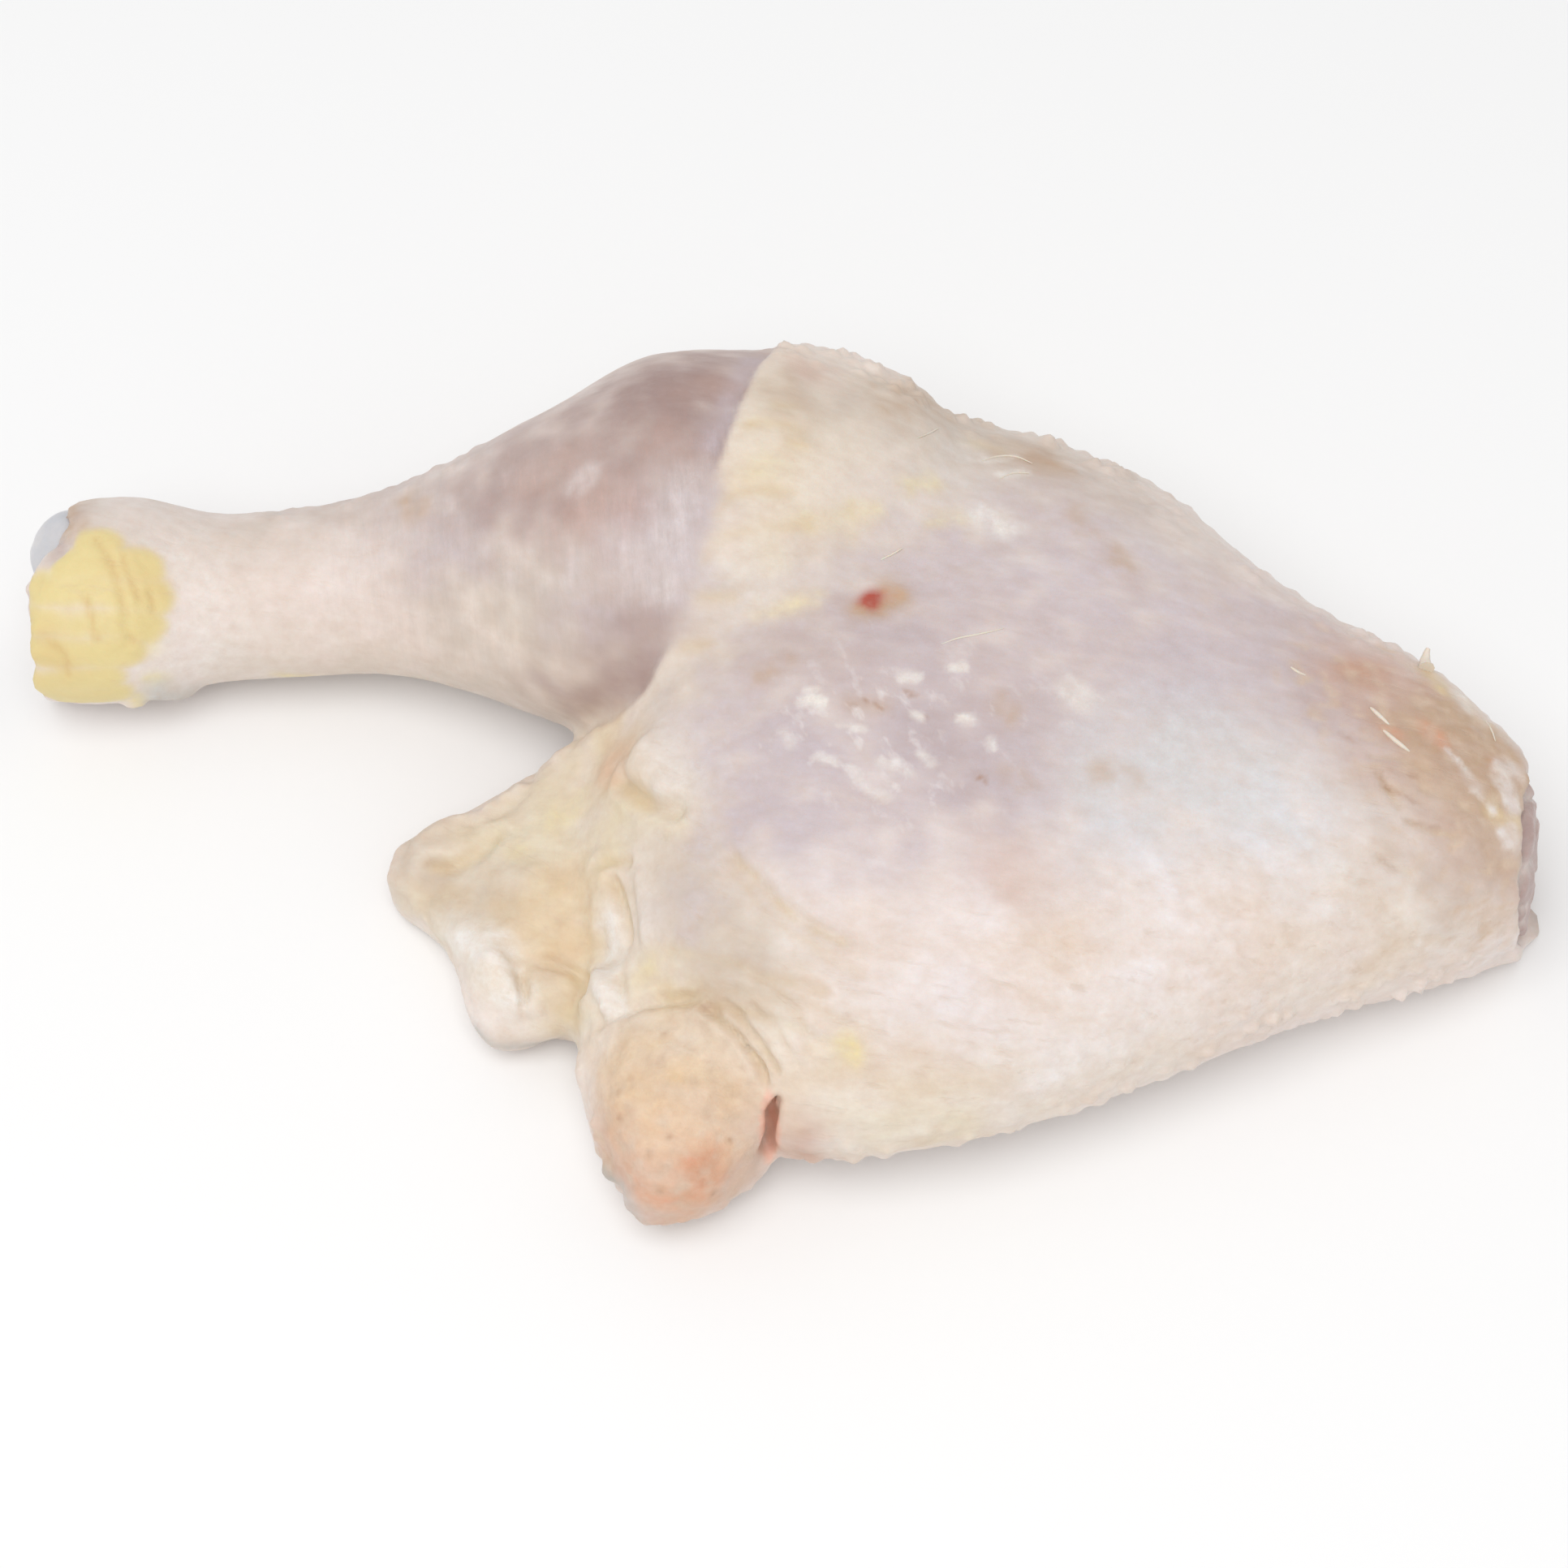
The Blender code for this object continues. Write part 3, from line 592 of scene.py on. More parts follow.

# Dry and scraped skin, and painted shade in the flap
finely("tan", 5.5, 0.5, (1100, 500, 1170, 505))
on_knee("tan", 4.5, 0.55, (1240, 556, 1285, 566), patch=0.7)
on_knee("tan", 4, 0.3, (965, 480, 985, 500), patch=0.7)
paint("tan", 3.5, 0.3, (672, 1215, 705, 1245), patch=0.3)
# painted shade along a crease of the flap and in its shaded places
paint("tan", 4, 0.12, (690, 1100, 718, 1150), (530, 1088, 600, 1112, 650, 1145), (500, 1056, 540, 1070), patch=0.3)
finely("tan", 1.8, 0.42, (1328, 630, 1338, 652), (1374, 676, 1390, 702), (1235, 868, 1240, 885),
      (1250, 960, 1260, 968), (1350, 950, 1400, 962), (935, 832, 965, 818), patch=0.9)
paint("tan", 1.5, 0.4, (1052, 868, 1086, 866), patch=0.3)
finely("tan", 4.5, 0.85, (1745, 900, 1790, 925, 1835, 955, 1870, 985), (1780, 870, 1850, 930, 1880, 965),
      patch=0.4)
paint("tan", 4, 0.75, (1850, 1045, 1874, 1080), (1800, 975, 1830, 1020), patch=0.3)
paint("tan", 4, 0.5, (1790, 905, 1830, 940, 1850, 965), patch=0.2)
finely("tan", 2, 0.6, (80, 622, 100, 615), (85, 640, 95, 650), (500, 615, 520, 625))
paint("tan", 6, 0.25, (1690, 840, 1760, 890, 1800, 925))
paint("tan", 4, 0.2, (892, 1176, 912, 1188))
paint("tan", 1.9, 0.95, (1090, 728, 1102, 732, 1104, 745), (1060, 752, 1085, 750), patch=0.2)

# Small sore places
finely("flush", 2.6, 0.85, (860, 1438, 880, 1446), patch=0.3)
finely("flush", 5, 0.12, (860, 1400, 900, 1370))
paint("flush", 6.5, 0.6, (780, 1450, 800, 1465, 850, 1475))
paint("flush", 1.4, 0.9, (1772, 906, 1780, 914), (1762, 898))
paint("flush", 1.6, 0.6, (64, 800, 82, 812), patch=0.3)
paint("flush", 3, 0.3, (752, 936, 764, 946), patch=0.3)
paint("flush", 3, 0.2, (1670, 825, 1685, 832))
paint("flush", 1.2, 0.3, (1092, 732, 1100, 735), patch=0.3)
paint("flush", 1.2, 0.5, (1712, 900, 1722, 906), (1846, 940, 1848, 950), patch=0.3)

# The bottoms of some folds in ochre tint and painted shade, painted shadow under the lower rims, and membranes
# over the cut at the hip
# ochre tint and painted shade along the bottoms of folds
finely("ochre", 1.2, 0.5, (775, 972, 805, 992, 833, 998), (642, 1206, 650, 1228), (706, 1200, 722, 1214),
      (764, 1206, 768, 1232), (545, 1070, 585, 1056), patch=0.4)
on_knee("ochre", 1.1, 0.35, (925, 524, 985, 530), (968, 545, 990, 548), (905, 605, 970, 604),
      (886, 628, 895, 614), (870, 685, 885, 665, 915, 652, 1000, 648), (862, 738, 900, 733), (960, 500, 975, 502),
      (845, 800, 870, 795))
paint("ochre", 1.6, 0.8, (1765, 832, 1775, 846), (1838, 994, 1850, 1008, 1868, 1014), patch=0.4)
# Painted shadow under the lower rims of the tail, the hock and the flap
paint("rim_shade", 2.5, 0.8, (745, 1450, 770, 1490), (200, 858, 230, 856), patch=0.2)
paint("rim_shade", 1.3, 0.8, (590, 1272, 620, 1290, 690, 1282), patch=0.1, ragged=0.4)
finely("lace", 0.75, 0.7, (1781, 920, 1793, 936, 1815, 959, 1830, 975, 1838, 990), patch=0.6, ragged=1.4)
finely("lace", 2, 1, (1858, 950, 1874, 962, 1880, 990), (1856, 962, 1862, 985), (1854, 1024, 1878, 1034),
      power=4, ragged=1.6)
paint("lace", 3, 0.3, (1850, 1040, 1880, 1060))

# Torn flecks of the outer skin, partly painted wet highlights, lumps of fat with painted light on their crests,
# and the white of the hip
finely("white", 2.2, 0.75, (1205, 636, 1222, 630, 1238, 652), patch=0.3)
# White flecks over the thigh: partly torn outer skin, partly painted wet highlights
finely("white", 0.9, 0.7, (990, 868, 1012, 864), (998, 852, 1006, 850), (1010, 870, 1018, 868),
      (1114, 832, 1126, 833), (1174, 824, 1184, 825), (1188, 884, 1200, 888), (1127, 883, 1131, 885), patch=0.2,
      power=4, ragged=0.9)
finely("white", 1.9, 0.5, (1316, 846, 1332, 862), patch=0.2, power=4, ragged=0.9)
finely("white", 0.9, 0.5, (1052, 945, 1066, 962, 1092, 985), (1088, 940, 1104, 950), (1110, 945, 1122, 956),
      (1040, 895, 1058, 896), (1215, 568, 1250, 562), (1235, 588, 1262, 582), (1220, 915, 1228, 922),
      (1010, 935, 1030, 940), (1140, 930, 1150, 940), (960, 905, 972, 915), power=4, ragged=1)
finely("white", 1.8, 0.4, (1640, 1080, 1660, 1090), (1310, 845, 1350, 870))
# White along the crests of the fat rolls in the flap and of the bulge above the flap: partly the fat, partly
# painted light on their tops
paint("white", 3.6, 0.8, (565, 1145, 606, 1165), (604, 1190, 620, 1215, 636, 1243), patch=0.4)
paint("white", 2.4, 0.9, (740, 1194, 742, 1215, 752, 1240), (750, 1130, 756, 1162), patch=0.4)
paint("white", 1.6, 0.4, (790, 1085, 796, 1145))
paint("white", 4, 0.3, (610, 1180, 630, 1202), (755, 1205, 766, 1216))
paint("white", 6, 0.4, (800, 925, 822, 965), patch=0.3)
finely("white", 0.5, 0.4, (1782, 916, 1802, 942, 1820, 968, 1834, 992), (1846, 1022, 1872, 1045),
      (1842, 950, 1858, 958, 1872, 978, 1874, 998), (1850, 966, 1852, 986, 1866, 1002), patch=0.6, power=4,
      ragged=1.3)
finely("white", 1.4, 0.5, (1795, 850, 1805, 870), (1876, 1128, 1886, 1140))
paint("white", 9, 0.3, (230, 700, 240, 800))
paint("white", 11, 0.1, (1500, 980, 1580, 1000))
paint("white", 6, 0.25, (932, 695, 946, 706), (1168, 560, 1190, 562), (1385, 1326, 1415, 1314))

# Browner lines between the scales, pinpricks, and the one spot of blood
finely("scale_brown", 0.6, 0.6, (118, 668, 140, 700, 152, 755), (150, 690, 168, 738), (184, 735, 188, 748),
      (108, 740, 120, 785), (160, 785, 164, 790), (66, 792, 84, 806, 84, 832), patch=0.3)
paint("scale_brown", 3.5, 0.3, (58, 800, 72, 825), (150, 690, 185, 720), patch=0.4)
paint("speck", 0.35, 0.8, (1052, 870), (1066, 864), (1078, 866), (1084, 874), (1118, 853, 1126, 856),
      (1204, 955, 1214, 962), (1140, 885), patch=0, ragged=0.1)
paint("speck", 0.5, 0.5, (818, 1275), (762, 1345), (764, 1378), (800, 1420), (826, 1402), (880, 1470), (905, 1350),
      (812, 1466), (870, 1240), (900, 1405), patch=0, ragged=0.2)
paint("speck", 4, 0.11, (1804, 922, 1798, 940), (1676, 838, 1690, 842), (1738, 896, 1744, 906),
      (1240, 560, 1262, 562))
finely("speck", 0.4, 0.35, (1703, 1058, 1722, 1073), (1732, 1012, 1770, 1022), (1705, 970, 1745, 992),
      (1700, 955, 1712, 975), (1650, 905, 1668, 914), (1740, 955, 1760, 962), patch=1, ragged=0.3)
paint("blood", 1.25, 1, (1066, 742, 1072, 734, 1080, 736, 1074, 746), patch=0, ragged=0.5)
masks["scale"] = scales
# Ochre tint and painted shade at the bottoms of the creases
masks["ochre"] += 0.6 * groove_tint_and_shade * np.clip(0.9 + 0.8 * patchy[2.0], 0.2, 1.2) * outside * (1 - masks["ochre"])

# Where the surface has its finer patterns. The goose bumps that only shade it lie behind, where none
# are worked, and raw skin lies in the slit beside the tail and round its rim.
top_edge = spot((1180, 600, 1450, 720), 9)
turned_away = unit((0.1 - normals @ np.array(TO_CAMERA)) / 0.3)
on_thigh = np.clip((points[:, 0] + 40.0) / 20.0, 0.3, 1.0)
SLIT = np.array((1.05, -57.0, 16.4))
SLIT_REACH = np.array((1.3, 5.0, 7.8))
in_slit = 4.45 - 4.0 * np.linalg.norm((points - SLIT) / SLIT_REACH, axis=1)
masks.update(
    # painted shade in the valleys of the wrinkles
    hollow=unit(-folds / 0.16 - 0.1) * outside,
    pored=unit(0.8 * tail + 0.5 * hip_end + 0.7 * spot((1460, 1240, 1580, 1225, 1700, 1190), 6)),
    # where the white flecks lie, partly painted wet highlights
    flecked=spot((990, 900, 1080, 930, 1120, 990), 9) + 0.6 * spot((1100, 830, 1250, 880), 9),
    fibred=spot((560, 660, 700, 640, 800, 640), 22, power=4) * under_fold,
    clouded=unit(0.22 + near_side + 0.75 * (flap + tail) + 0.2 * hip_end + 0.4 * top_edge),
    pebbled=unit(tail + 0.35 * flap + 0.25 * hip_end + 0.2 * near_side),
    goosed=unit((points[:, 1] - 12.0) / 10.0) * on_thigh * turned_away,
    lined=unit(near_side + hip_end + 0.5 * shank + 0.4 * knee),
    creased=unit(thigh_left + 0.7 * flap) * (1 - tail),
    raw=np.clip(in_slit, 0.0, 0.85),
)
give_masks(skin, masks)


def linear(red, green, blue):
    """A colour given as it shows in the photograph, from 0 to 255, as the shader takes it."""
    return tuple((value / 255) ** 2.2 for value in (red, green, blue)) + (1.0,)


def joined(socket, value):
    """Feeds a socket with another node's output, or sets it."""
    if isinstance(value, bpy.types.NodeSocket):
        socket.id_data.links.new(value, socket)
    else:
        socket.default_value = value


def math_node(tree, operation, *values, clamp=False):
    node = tree.nodes.new("ShaderNodeMath")
    node.operation = operation
    node.use_clamp = clamp
    for socket, value in zip(node.inputs, values):
        joined(socket, value)
    return node.outputs[0]


def laid_over(tree, lower, upper, factor, way="MIX"):
    """One colour laid over another."""
    mix = tree.nodes.new("ShaderNodeMix")
    mix.data_type = "RGBA"
    mix.blend_type = way
    joined(mix.inputs["Factor"], factor)
    joined(mix.inputs["A"], lower)
    joined(mix.inputs["B"], upper)
    return mix.outputs["Result"]


def noise_node(tree, grain, stretch=(1, 1, 1), turn=0.0, detail=4, rough=0.6, bent=0.0,
               kind="ShaderNodeTexNoise"):
    """A texture in Object coordinates with grain lumps a millimetre, stretched along a way in plan."""
    coordinates = tree.nodes.new("ShaderNodeTexCoord")
    mapping = tree.nodes.new("ShaderNodeMapping")
    mapping.vector_type = "TEXTURE"
    mapping.inputs["Rotation"].default_value = (0, 0, math.radians(turn))
    mapping.inputs["Scale"].default_value = stretch
    texture = tree.nodes.new(kind)
    texture.inputs["Detail"].default_value = detail
    texture.inputs["Roughness"].default_value = rough
    if bent:
        texture.inputs["Distortion"].default_value = bent
    joined(texture.inputs["Scale"], grain if isinstance(grain, bpy.types.NodeSocket) else grain / MM)
    tree.links.new(coordinates.outputs["Object"], mapping.inputs["Vector"])
    tree.links.new(mapping.outputs["Vector"], texture.inputs["Vector"])
    return texture


def mask_of(tree, name):
    attribute = tree.nodes.new("ShaderNodeAttribute")
    attribute.attribute_name = name
    return attribute.outputs["Fac"]


def times(tree, first, second, clamp=False):
    """One value times another."""
    return math_node(tree, "MULTIPLY", first, second, clamp=clamp)


def scaled(tree, value, factor, offset, clamp=False):
    """A value times a factor, and an offset added."""
    return math_node(tree, "MULTIPLY_ADD", value, factor, offset, clamp=clamp)


def new_material(name, roughness, scatter, radius, depth):
    """A material with light scattered depth mm under its surface, its node tree and its shader."""
    material = bpy.data.materials.new(name)
    material.use_nodes = True
    surface = material.node_tree.nodes["Principled BSDF"]
    surface.inputs["Roughness"].default_value = roughness
    surface.inputs["Subsurface Weight"].default_value = scatter
    surface.inputs["Subsurface Radius"].default_value = radius
    surface.inputs["Subsurface Scale"].default_value = depth * MM
    return material, material.node_tree, surface


def bumped(tree, surface, height, distance):
    """Lifts the surface's shading by up to distance mm where the height is 1."""
    bump = tree.nodes.new("ShaderNodeBump")
    bump.inputs["Strength"].default_value = 0.5
    bump.inputs["Distance"].default_value = distance * MM
    joined(bump.inputs["Height"], height)
    joined(surface.inputs["Normal"], bump.outputs["Normal"])


def finished(obj, material):
    """Gives an object its one material and smooth shading."""
    obj.data.materials.clear()
    obj.data.materials.append(material)
    selected_alone(obj)
    bpy.ops.object.shade_smooth()


def warm_tone(tree, value, amount, shares=(0.55, 0.8, 1.0)):
    """A tint that whitens the colour above a value of a half and makes it darker and golden below it."""
    tint = tree.nodes.new("ShaderNodeVectorMath")
    tint.operation = "MULTIPLY_ADD"
    joined(tint.inputs[0], value)
    tint.inputs[1].default_value = [amount * share for share in shares]
    tint.inputs[2].default_value = [1 - 0.5 * amount * share for share in shares]
    return tint.outputs["Vector"]


# Flesh grain, for the skin, the meat and the knuckles: uneven tone and a fine uneven surface
flesh_grain = bpy.data.node_groups.new("flesh_grain", "ShaderNodeTree")
flesh_grain.interface.new_socket("Grain", in_out="INPUT", socket_type="NodeSocketFloat")
flesh_grain.interface.new_socket("Contrast", in_out="INPUT", socket_type="NodeSocketFloat")
flesh_grain.interface.new_socket("Tone", in_out="OUTPUT", socket_type="NodeSocketColor")
flesh_grain.interface.new_socket("Height", in_out="OUTPUT", socket_type="NodeSocketFloat")
group_in = flesh_grain.nodes.new("NodeGroupInput")
group_out = flesh_grain.nodes.new("NodeGroupOutput")
per_metre = math_node(flesh_grain, "DIVIDE", group_in.outputs["Grain"], MM)
flecks = noise_node(flesh_grain, per_metre, detail=7, rough=0.8).outputs["Fac"]
uneven = times(flesh_grain, math_node(flesh_grain, "SUBTRACT", flecks, 0.5), group_in.outputs["Contrast"])
joined(group_out.inputs["Tone"], warm_tone(flesh_grain, math_node(flesh_grain, "ADD", uneven, 0.5), 1.3))
joined(group_out.inputs["Height"], flecks)


def grain_node(tree, grain, contrast):
    node = tree.nodes.new("ShaderNodeGroup")
    node.node_tree = flesh_grain
    node.inputs["Grain"].default_value = grain
    node.inputs["Contrast"].default_value = contrast
    return node


skin_material, tree, surface = new_material("chicken_skin", 0.45, 0.2, (1.0, 0.55, 0.4), 1.6)
grain = grain_node(tree, 0.45, 0.33)
streaks = noise_node(tree, 0.32, (2.6, 0.8, 1.1), THIGH_TURN, detail=5, rough=0.65, bent=0.3).outputs["Fac"]
fibres = noise_node(tree, 0.5, (0.8, 5.0, 5.0), turn=5, detail=6, rough=0.75).outputs["Fac"]
along = times(tree, math_node(tree, "SUBTRACT", fibres, streaks), mask_of(tree, "fibred"))
along = math_node(tree, "ADD", streaks, along)
detail = times(tree, math_node(tree, "ADD", grain.outputs["Height"], along), 0.5)

colour = linear(231, 217, 209)
LAYERS = (
    # colour, and how much the fine grain breaks it up
    ("cream", (231, 217, 200), 0.3),
    ("butter", (224, 208, 178), 0.4),
    # drab, with painted shade along the edges that turn away
    ("drab", (205, 191, 178), 0.5),
    ("lilac", (206, 191, 191), 0.5),
    ("muscle", (186, 165, 159), 0.5),
    ("deep", (163, 138, 132), 0.5),
    ("violet", (193, 179, 183), 0.5),
    ("haze", (214, 202, 199), 0.4),
    ("bluish", (212, 208, 208), 0.5),
    ("yellow", (229, 212, 166), 0.9),
    ("pink", (200, 167, 153), 0.5),
    ("peach", (227, 200, 168), 0.4),
    # tan, also painted shade in the flap
    ("tan", (193, 164, 138), 0.7),
    ("flush", (213, 158, 128), 0.8),
    # painted shade in the valleys of the wrinkles
    ("hollow", (214, 190, 168), 0.6),
    # ochre tint and painted shade at the bottoms of creases
    ("ochre", (214, 188, 148), 0.6),
    # painted shadow under the lower rims
    ("rim_shade", (190, 185, 178), 0.4),
    ("lace", (220, 207, 200), 0.5),
    # white, also painted wet highlights on the thigh and painted light on the crests of the fat rolls
    ("white", (235, 228, 221), 0.8),
    ("scale", (227, 208, 150), 0.0),
    ("scale_brown", (215, 184, 128), 0.8),
    ("raw", (234, 184, 162), 0.3),
    ("speck", (166, 126, 100), 0.0),
    ("blood", (176, 84, 70), 0.2),
)
for name, tint, broken in LAYERS:
    wave = scaled(tree, detail, 4.0 * broken, 1 - 2.0 * broken)
    strength = times(tree, mask_of(tree, name), wave, clamp=True)
    colour = laid_over(tree, colour, linear(*tint), strength)

# Torn flecks of the outer skin, partly painted wet highlights, and the pores that the feathers left.
# Each pattern is the part of a noise above or below a level, made sharp.
fleck_noise = noise_node(tree, 0.36, (0.8, 1.4, 1.0), turn=30, detail=3, rough=0.55, bent=0.2).outputs["Fac"]
fleck_and_highlight = scaled(tree, fleck_noise, 5.0, -2.85, clamp=True)
fleck_and_highlight = times(tree, fleck_and_highlight, times(tree, mask_of(tree, "flecked"), 0.8), clamp=True)
colour = laid_over(tree, colour, linear(231, 223, 221), fleck_and_highlight)
cells = noise_node(tree, 0.33, kind="ShaderNodeTexVoronoi", detail=0).outputs["Distance"]
pores = scaled(tree, cells, -5.0, 1.3, clamp=True)
pores = times(tree, pores, times(tree, mask_of(tree, "pored"), 0.3), clamp=True)
colour = laid_over(tree, colour, linear(200, 164, 136), pores)

# Thin broken lines where the skin was stretched and let go, darkened with painted shade as in a crease
lines = None
for name, turn, length in (("lined", -9, 4.5), ("creased", -38, 4.0)):
    run = noise_node(tree, 0.62, (length, 0.8, 1.0), turn, detail=3, rough=0.55, bent=0.25).outputs["Fac"]
    line = scaled(tree, run, 8.0, -4.7, clamp=True)
    line = times(tree, line, mask_of(tree, name))
    lines = math_node(tree, "MAXIMUM", lines, line) if lines else line
colour = laid_over(tree, colour, linear(208, 184, 164), times(tree, lines, 0.28))

# Whiter and more golden flecks and clouds all over, and fibres that run round the calf
smooth_scale = scaled(tree, mask_of(tree, "scale"), -0.6, 1.0)
colour = laid_over(tree, colour, grain.outputs["Tone"], smooth_scale, "MULTIPLY")
patches = noise_node(tree, 0.5, (1.5, 0.9, 1.0), THIGH_TURN, detail=2, rough=0.5).outputs["Fac"]
colour = laid_over(tree, colour, warm_tone(tree, patches, 0.24), smooth_scale, "MULTIPLY")
clouds = noise_node(tree, 0.1, (1.6, 1.0, 1.0), THIGH_TURN, rough=0.55, bent=0.4).outputs["Fac"]
clouds = warm_tone(tree, clouds, 0.8, (0.3, 0.6, 1.0))
colour = laid_over(tree, colour, clouds, mask_of(tree, "clouded"), "MULTIPLY")
pebbles = noise_node(tree, 0.75, detail=3, rough=0.6).outputs["Fac"]
colour = laid_over(tree, colour, warm_tone(tree, pebbles, 0.28), mask_of(tree, "pebbled"), "MULTIPLY")
fibre_tone = scaled(tree, fibres, 0.5, 0.75)
colour = laid_over(tree, colour, fibre_tone, mask_of(tree, "fibred"), "MULTIPLY")
joined(surface.inputs["Base Color"], colour)
joined(surface.inputs["Roughness"], scaled(tree, streaks, 0.3, 0.3))
surface.inputs["Specular IOR Level"].default_value = 0.35
pebble_height = times(tree, pebbles, mask_of(tree, "pebbled"))
goose_height = scaled(tree, cells, -2.4, 1.2, clamp=True)
goose_height = times(tree, goose_height, mask_of(tree, "goosed"))
height = math_node(tree, "ADD", scaled(tree, lines, -0.3, detail), pebble_height)
bumped(tree, surface, scaled(tree, goose_height, 1.5, height), 0.35)

finished(skin, skin_material)
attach(skin, "root")
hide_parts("skin")


# ---- Meat --------------------------------------------------------
# The thigh's muscles fill the skin and swell out a little where the leg was cut off at the hip:
# dull red bundles of fibres with pale sheets of tissue between them. It ends in gristle at the hock.
MEAT_GRAIN = 0.8            # mm between the points of the worked surface
MEAT_SHARE = 0.05           # of the faces inside the skin are kept
BUNDLE = 9.0                # mm across a bundle of fibres
HIP_END, HOCK_END = 92.0, -96.0     # mm along X, past which the meat's ends show
GRISTLE_END = -90.0                 # mm along X, before which it is gristle

meat = worked_copy("meat", "thigh_meat", MEAT_GRAIN, 5)
points = places_of(meat)
coarsened(meat, (points[:, 0] < HIP_END - 2.0) & (points[:, 0] > HOCK_END + 2.0), MEAT_SHARE)
points = places_of(meat)
normals = normals_of(meat)
cells = [noise.voronoi(place)[0] for place in points / np.array((30.0, BUNDLE, BUNDLE)) + 2.0]
between = np.exp(-((np.array([cell[1] - cell[0] for cell in cells]) / 0.12) ** 2))
at_ends = (points[:, 0] > HIP_END) | (points[:, 0] < HOCK_END)
relief = 0.35 * soft_noise(points, 2.4, 6.1) + 0.5 * soft_noise(points, 6, 7.3) - 0.8 * between
points += normals * np.where(at_ends, relief - 0.4, 0.0)[:, None]
points = reshaped(meat, points)
give_masks(meat, {"fascia": between, "gristle": (points[:, 0] < GRISTLE_END).astype(float)})

meat_material, tree, surface = new_material("raw_meat", 0.32, 0.25, (1.0, 0.4, 0.3), 2.0)
grain = grain_node(tree, 0.8, 0.5)
strands = noise_node(tree, 0.5, (4.0, 1.0, 1.0), turn=20, detail=3).outputs["Fac"]
colour = laid_over(tree, linear(170, 143, 138), linear(200, 178, 171), strands)
colour = laid_over(tree, colour, linear(224, 210, 202), times(tree, mask_of(tree, "fascia"), 0.8))
colour = laid_over(tree, colour, linear(226, 205, 192), times(tree, mask_of(tree, "gristle"), 0.9))
joined(surface.inputs["Base Color"], laid_over(tree, colour, grain.outputs["Tone"], 1.0, "MULTIPLY"))
bumped(tree, surface, grain.outputs["Height"], 0.3)
finished(meat, meat_material)
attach(meat, "root")
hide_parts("meat")


# ---- Knuckles ----------------------------------------------------
# The end of the shin bone at the hock: two knuckles under smooth, bluish white gristle that is a
# little clouded and pinker where the skin was cut from it.
KNUCKLE_GRAIN = 0.6         # mm between the points of the worked surface
KNUCKLE_SHARE = 0.1         # of the faces deep inside the skin are kept

knuckles = worked_copy("shin_bone", "hock_knuckles", KNUCKLE_GRAIN, 12)
points = places_of(knuckles)
coarsened(knuckles, points[:, 0] > GRISTLE_END, KNUCKLE_SHARE)
points = places_of(knuckles)
relief = 0.25 * soft_noise(points, 4, 3) + 0.08 * soft_noise(points, 1.6, 5)
reshaped(knuckles, points + normals_of(knuckles) * relief[:, None])

gristle, tree, surface = new_material("gristle", 0.28, 0.3, (0.8, 0.8, 1.0), 2.0)
clouds = noise_node(tree, 0.22, detail=3).outputs["Fac"]
cloudy = scaled(tree, clouds, 3.0, -1.0, clamp=True)
colour = laid_over(tree, linear(196, 198, 204), linear(210, 207, 208), cloudy)
colour = laid_over(tree, colour, grain_node(tree, 0.5, 0.16).outputs["Tone"], 1.0, "MULTIPLY")
joined(surface.inputs["Base Color"], colour)
finished(knuckles, gristle)
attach(knuckles, "root")
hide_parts("shin_bone")


# ---- Quills and threads ------------------------------------------
# Stubs of feathers that the plucking left near the hip, and dried threads of the outer skin that
# lie over the thigh. Each is a thin tapered rod that lies on the skin or is rooted in it.
QUILLS = (
    # radius and rise of the tip in mm, and the line of pixels from root to tip
    (0.32, -0.15, (1688, 872, 1698, 881, 1712, 893)),
    (0.35, -0.15, (1704, 900, 1720, 914, 1737, 926)),
    (0.22, -0.2, (1590, 822, 1598, 828, 1610, 832)),
    (1.25, 2.2, (1756, 826, 1753, 820, 1750, 814)),
    (0.13, 0.0, (1160, 794, 1180, 786, 1205, 782, 1238, 774)),
    (0.14, 0.1, (1210, 568, 1228, 562, 1252, 562, 1272, 572)),
    (0.14, 0.1, (1232, 590, 1248, 582, 1268, 584)),
    (0.12, 0.1, (1130, 540, 1145, 534, 1156, 528)),
    (0.14, 0.1, (1085, 690, 1098, 684, 1112, 676)),
    (0.14, 0.1, (1830, 888, 1838, 900, 1842, 914)),
)
quill_material, tree, surface = new_material("quill", 0.4, 0.2, (1.0, 0.2, 0.1), 0.5)
colour = laid_over(tree, linear(226, 215, 200), grain_node(tree, 0.6, 0.3).outputs["Tone"], 1.0, "MULTIPLY")
joined(surface.inputs["Base Color"], colour)

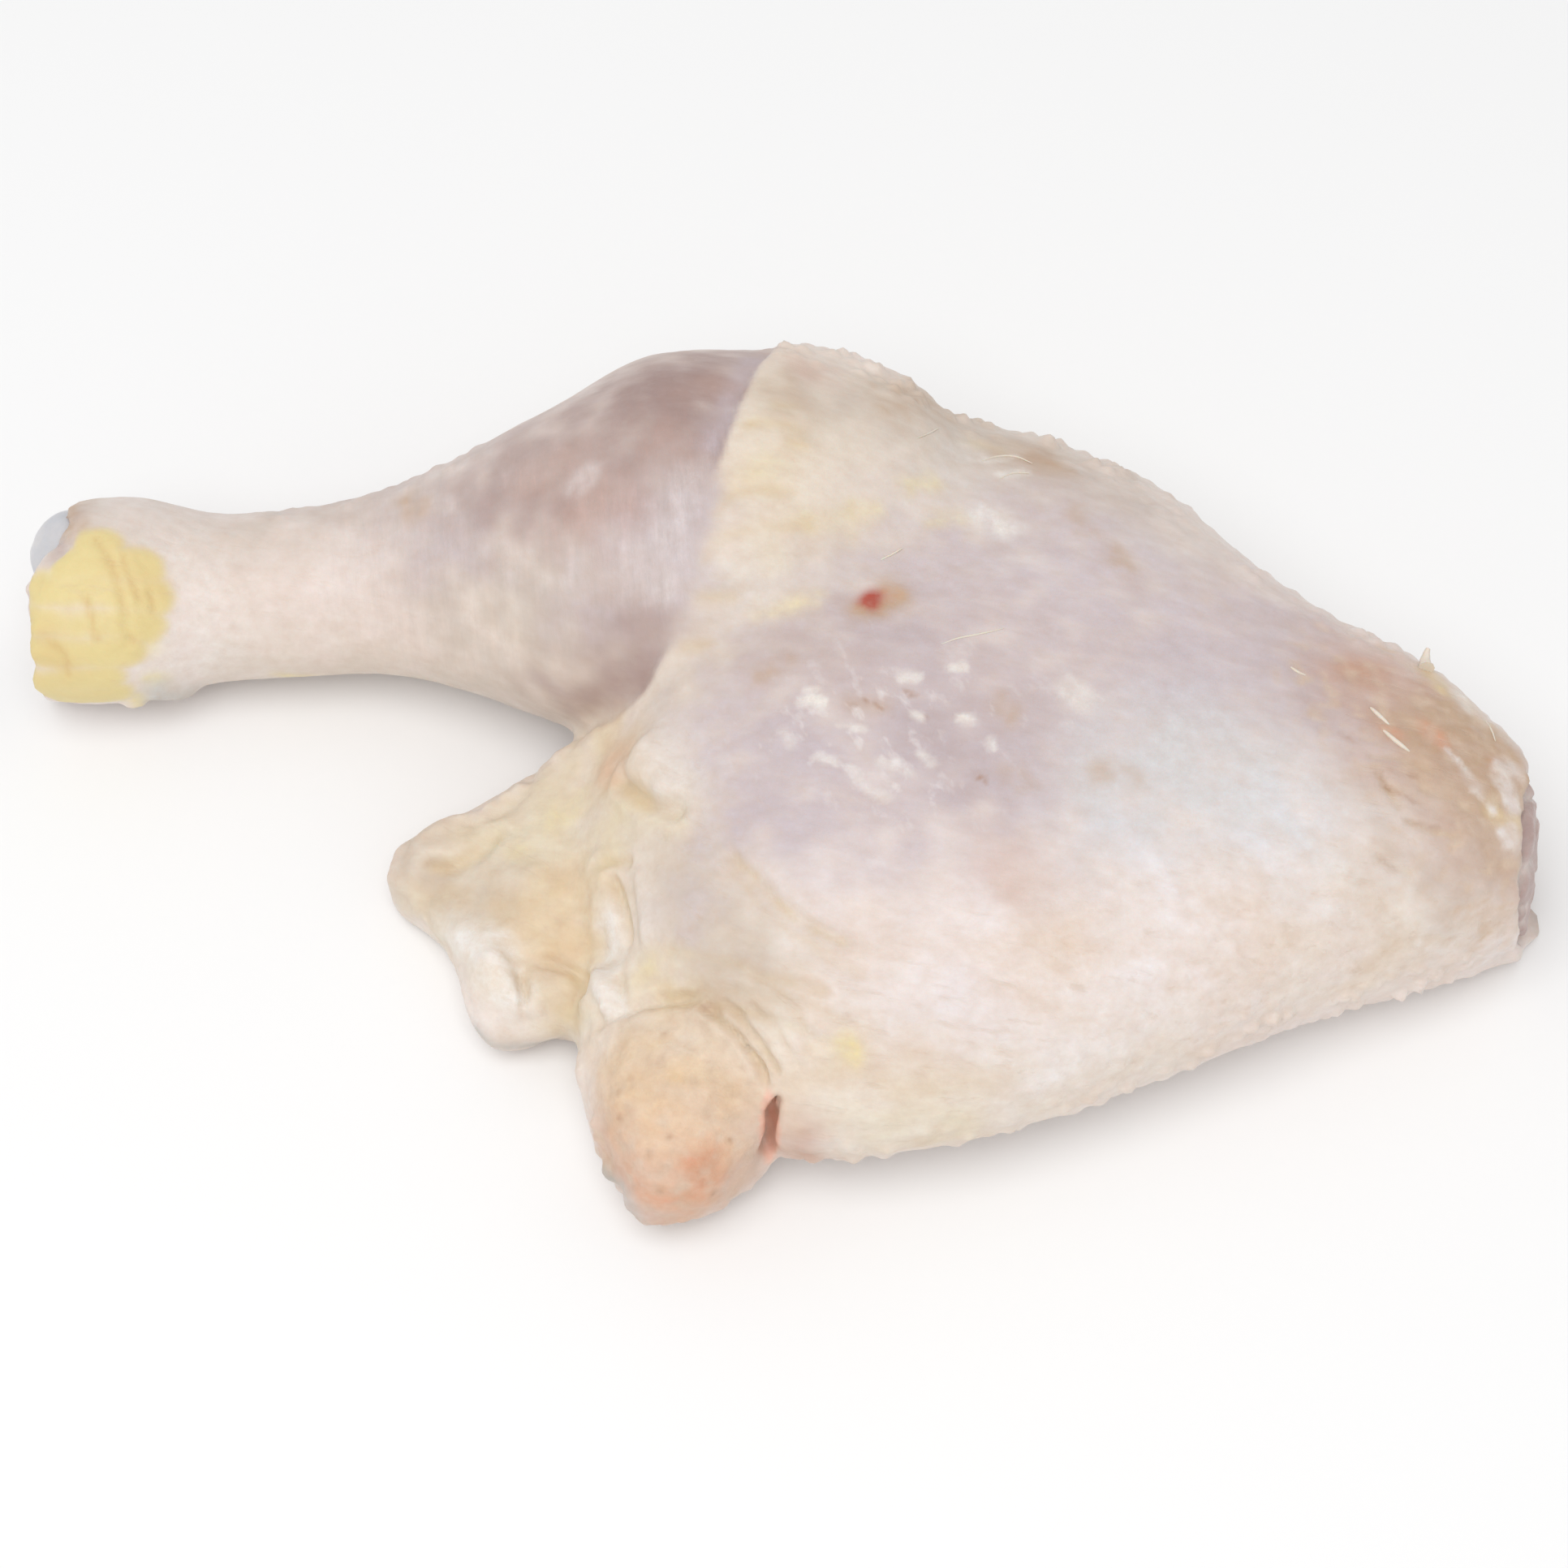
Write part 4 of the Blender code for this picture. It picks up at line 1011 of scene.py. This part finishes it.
bpy.ops.object.select_all(action="DESELECT")
rods = []
for radius, rise, pixels in QUILLS:
    line = skin_line(pixels)
    curve = bpy.data.curves.new("quill", "CURVE")
    curve.dimensions = "3D"
    curve.bevel_depth = MM
    curve.bevel_resolution = 2
    curve.use_fill_caps = True
    spline = curve.splines.new("POLY")
    spline.points.add(len(line) - 1)
    for i, place in enumerate(line):
        t = i / (len(line) - 1)
        up = np.array(skin_tree.find_nearest(Vector(place) * MM)[1])
        place = place + up * (0.2 * radius + rise * t * t)
        spline.points[i].co = (*(place * MM), 1.0)
        spline.points[i].radius = radius * (1.0 - 0.75 * t if rise > 1 else 0.25 + 0.75 * math.sin(math.pi * t))
    rod = bpy.data.objects.new("quill", curve)
    bpy.context.scene.collection.objects.link(rod)
    rods.append(rod)
for rod in rods:
    rod.select_set(True)
bpy.context.view_layer.objects.active = rods[0]
bpy.ops.object.convert(target="MESH")
bpy.ops.object.join()
quills = bpy.context.object
quills.name = "quills"
finished(quills, quill_material)
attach(quills, "root")


# ---- Floor and light ---------------------------------------------
# A white sheet of paper, for the look alone, under even light from all round. One large soft box above
# and in front gives the leg its soft shade and its faint shine.
bpy.ops.mesh.primitive_plane_add(size=3.0, location=(0, 0, -0.0002))
floor = bpy.context.object
floor.name = "floor"
paper = bpy.data.materials.new("paper")
paper.use_nodes = True
surface = paper.node_tree.nodes["Principled BSDF"]
surface.inputs["Base Color"].default_value = (0.93, 0.93, 0.93, 1)
surface.inputs["Roughness"].default_value = 0.9
floor.data.materials.append(paper)

world = bpy.data.worlds.new("studio")
bpy.context.scene.world = world
world.use_nodes = True
background = world.node_tree.nodes["Background"]
background.inputs["Color"].default_value = (1, 1, 1, 1)
background.inputs["Strength"].default_value = 0.69

light_place = Vector((-0.15, -0.38, 0.95))
bpy.ops.object.light_add(type="AREA", location=light_place)
soft_box = bpy.context.object
soft_box.name = "soft_box"
soft_box.data.shape = "DISK"
soft_box.data.size = 0.9
soft_box.data.energy = 5.0
soft_box.rotation_euler = (-light_place).to_track_quat("-Z", "Y").to_euler()
bpy.context.scene.view_settings.view_transform = "Standard"
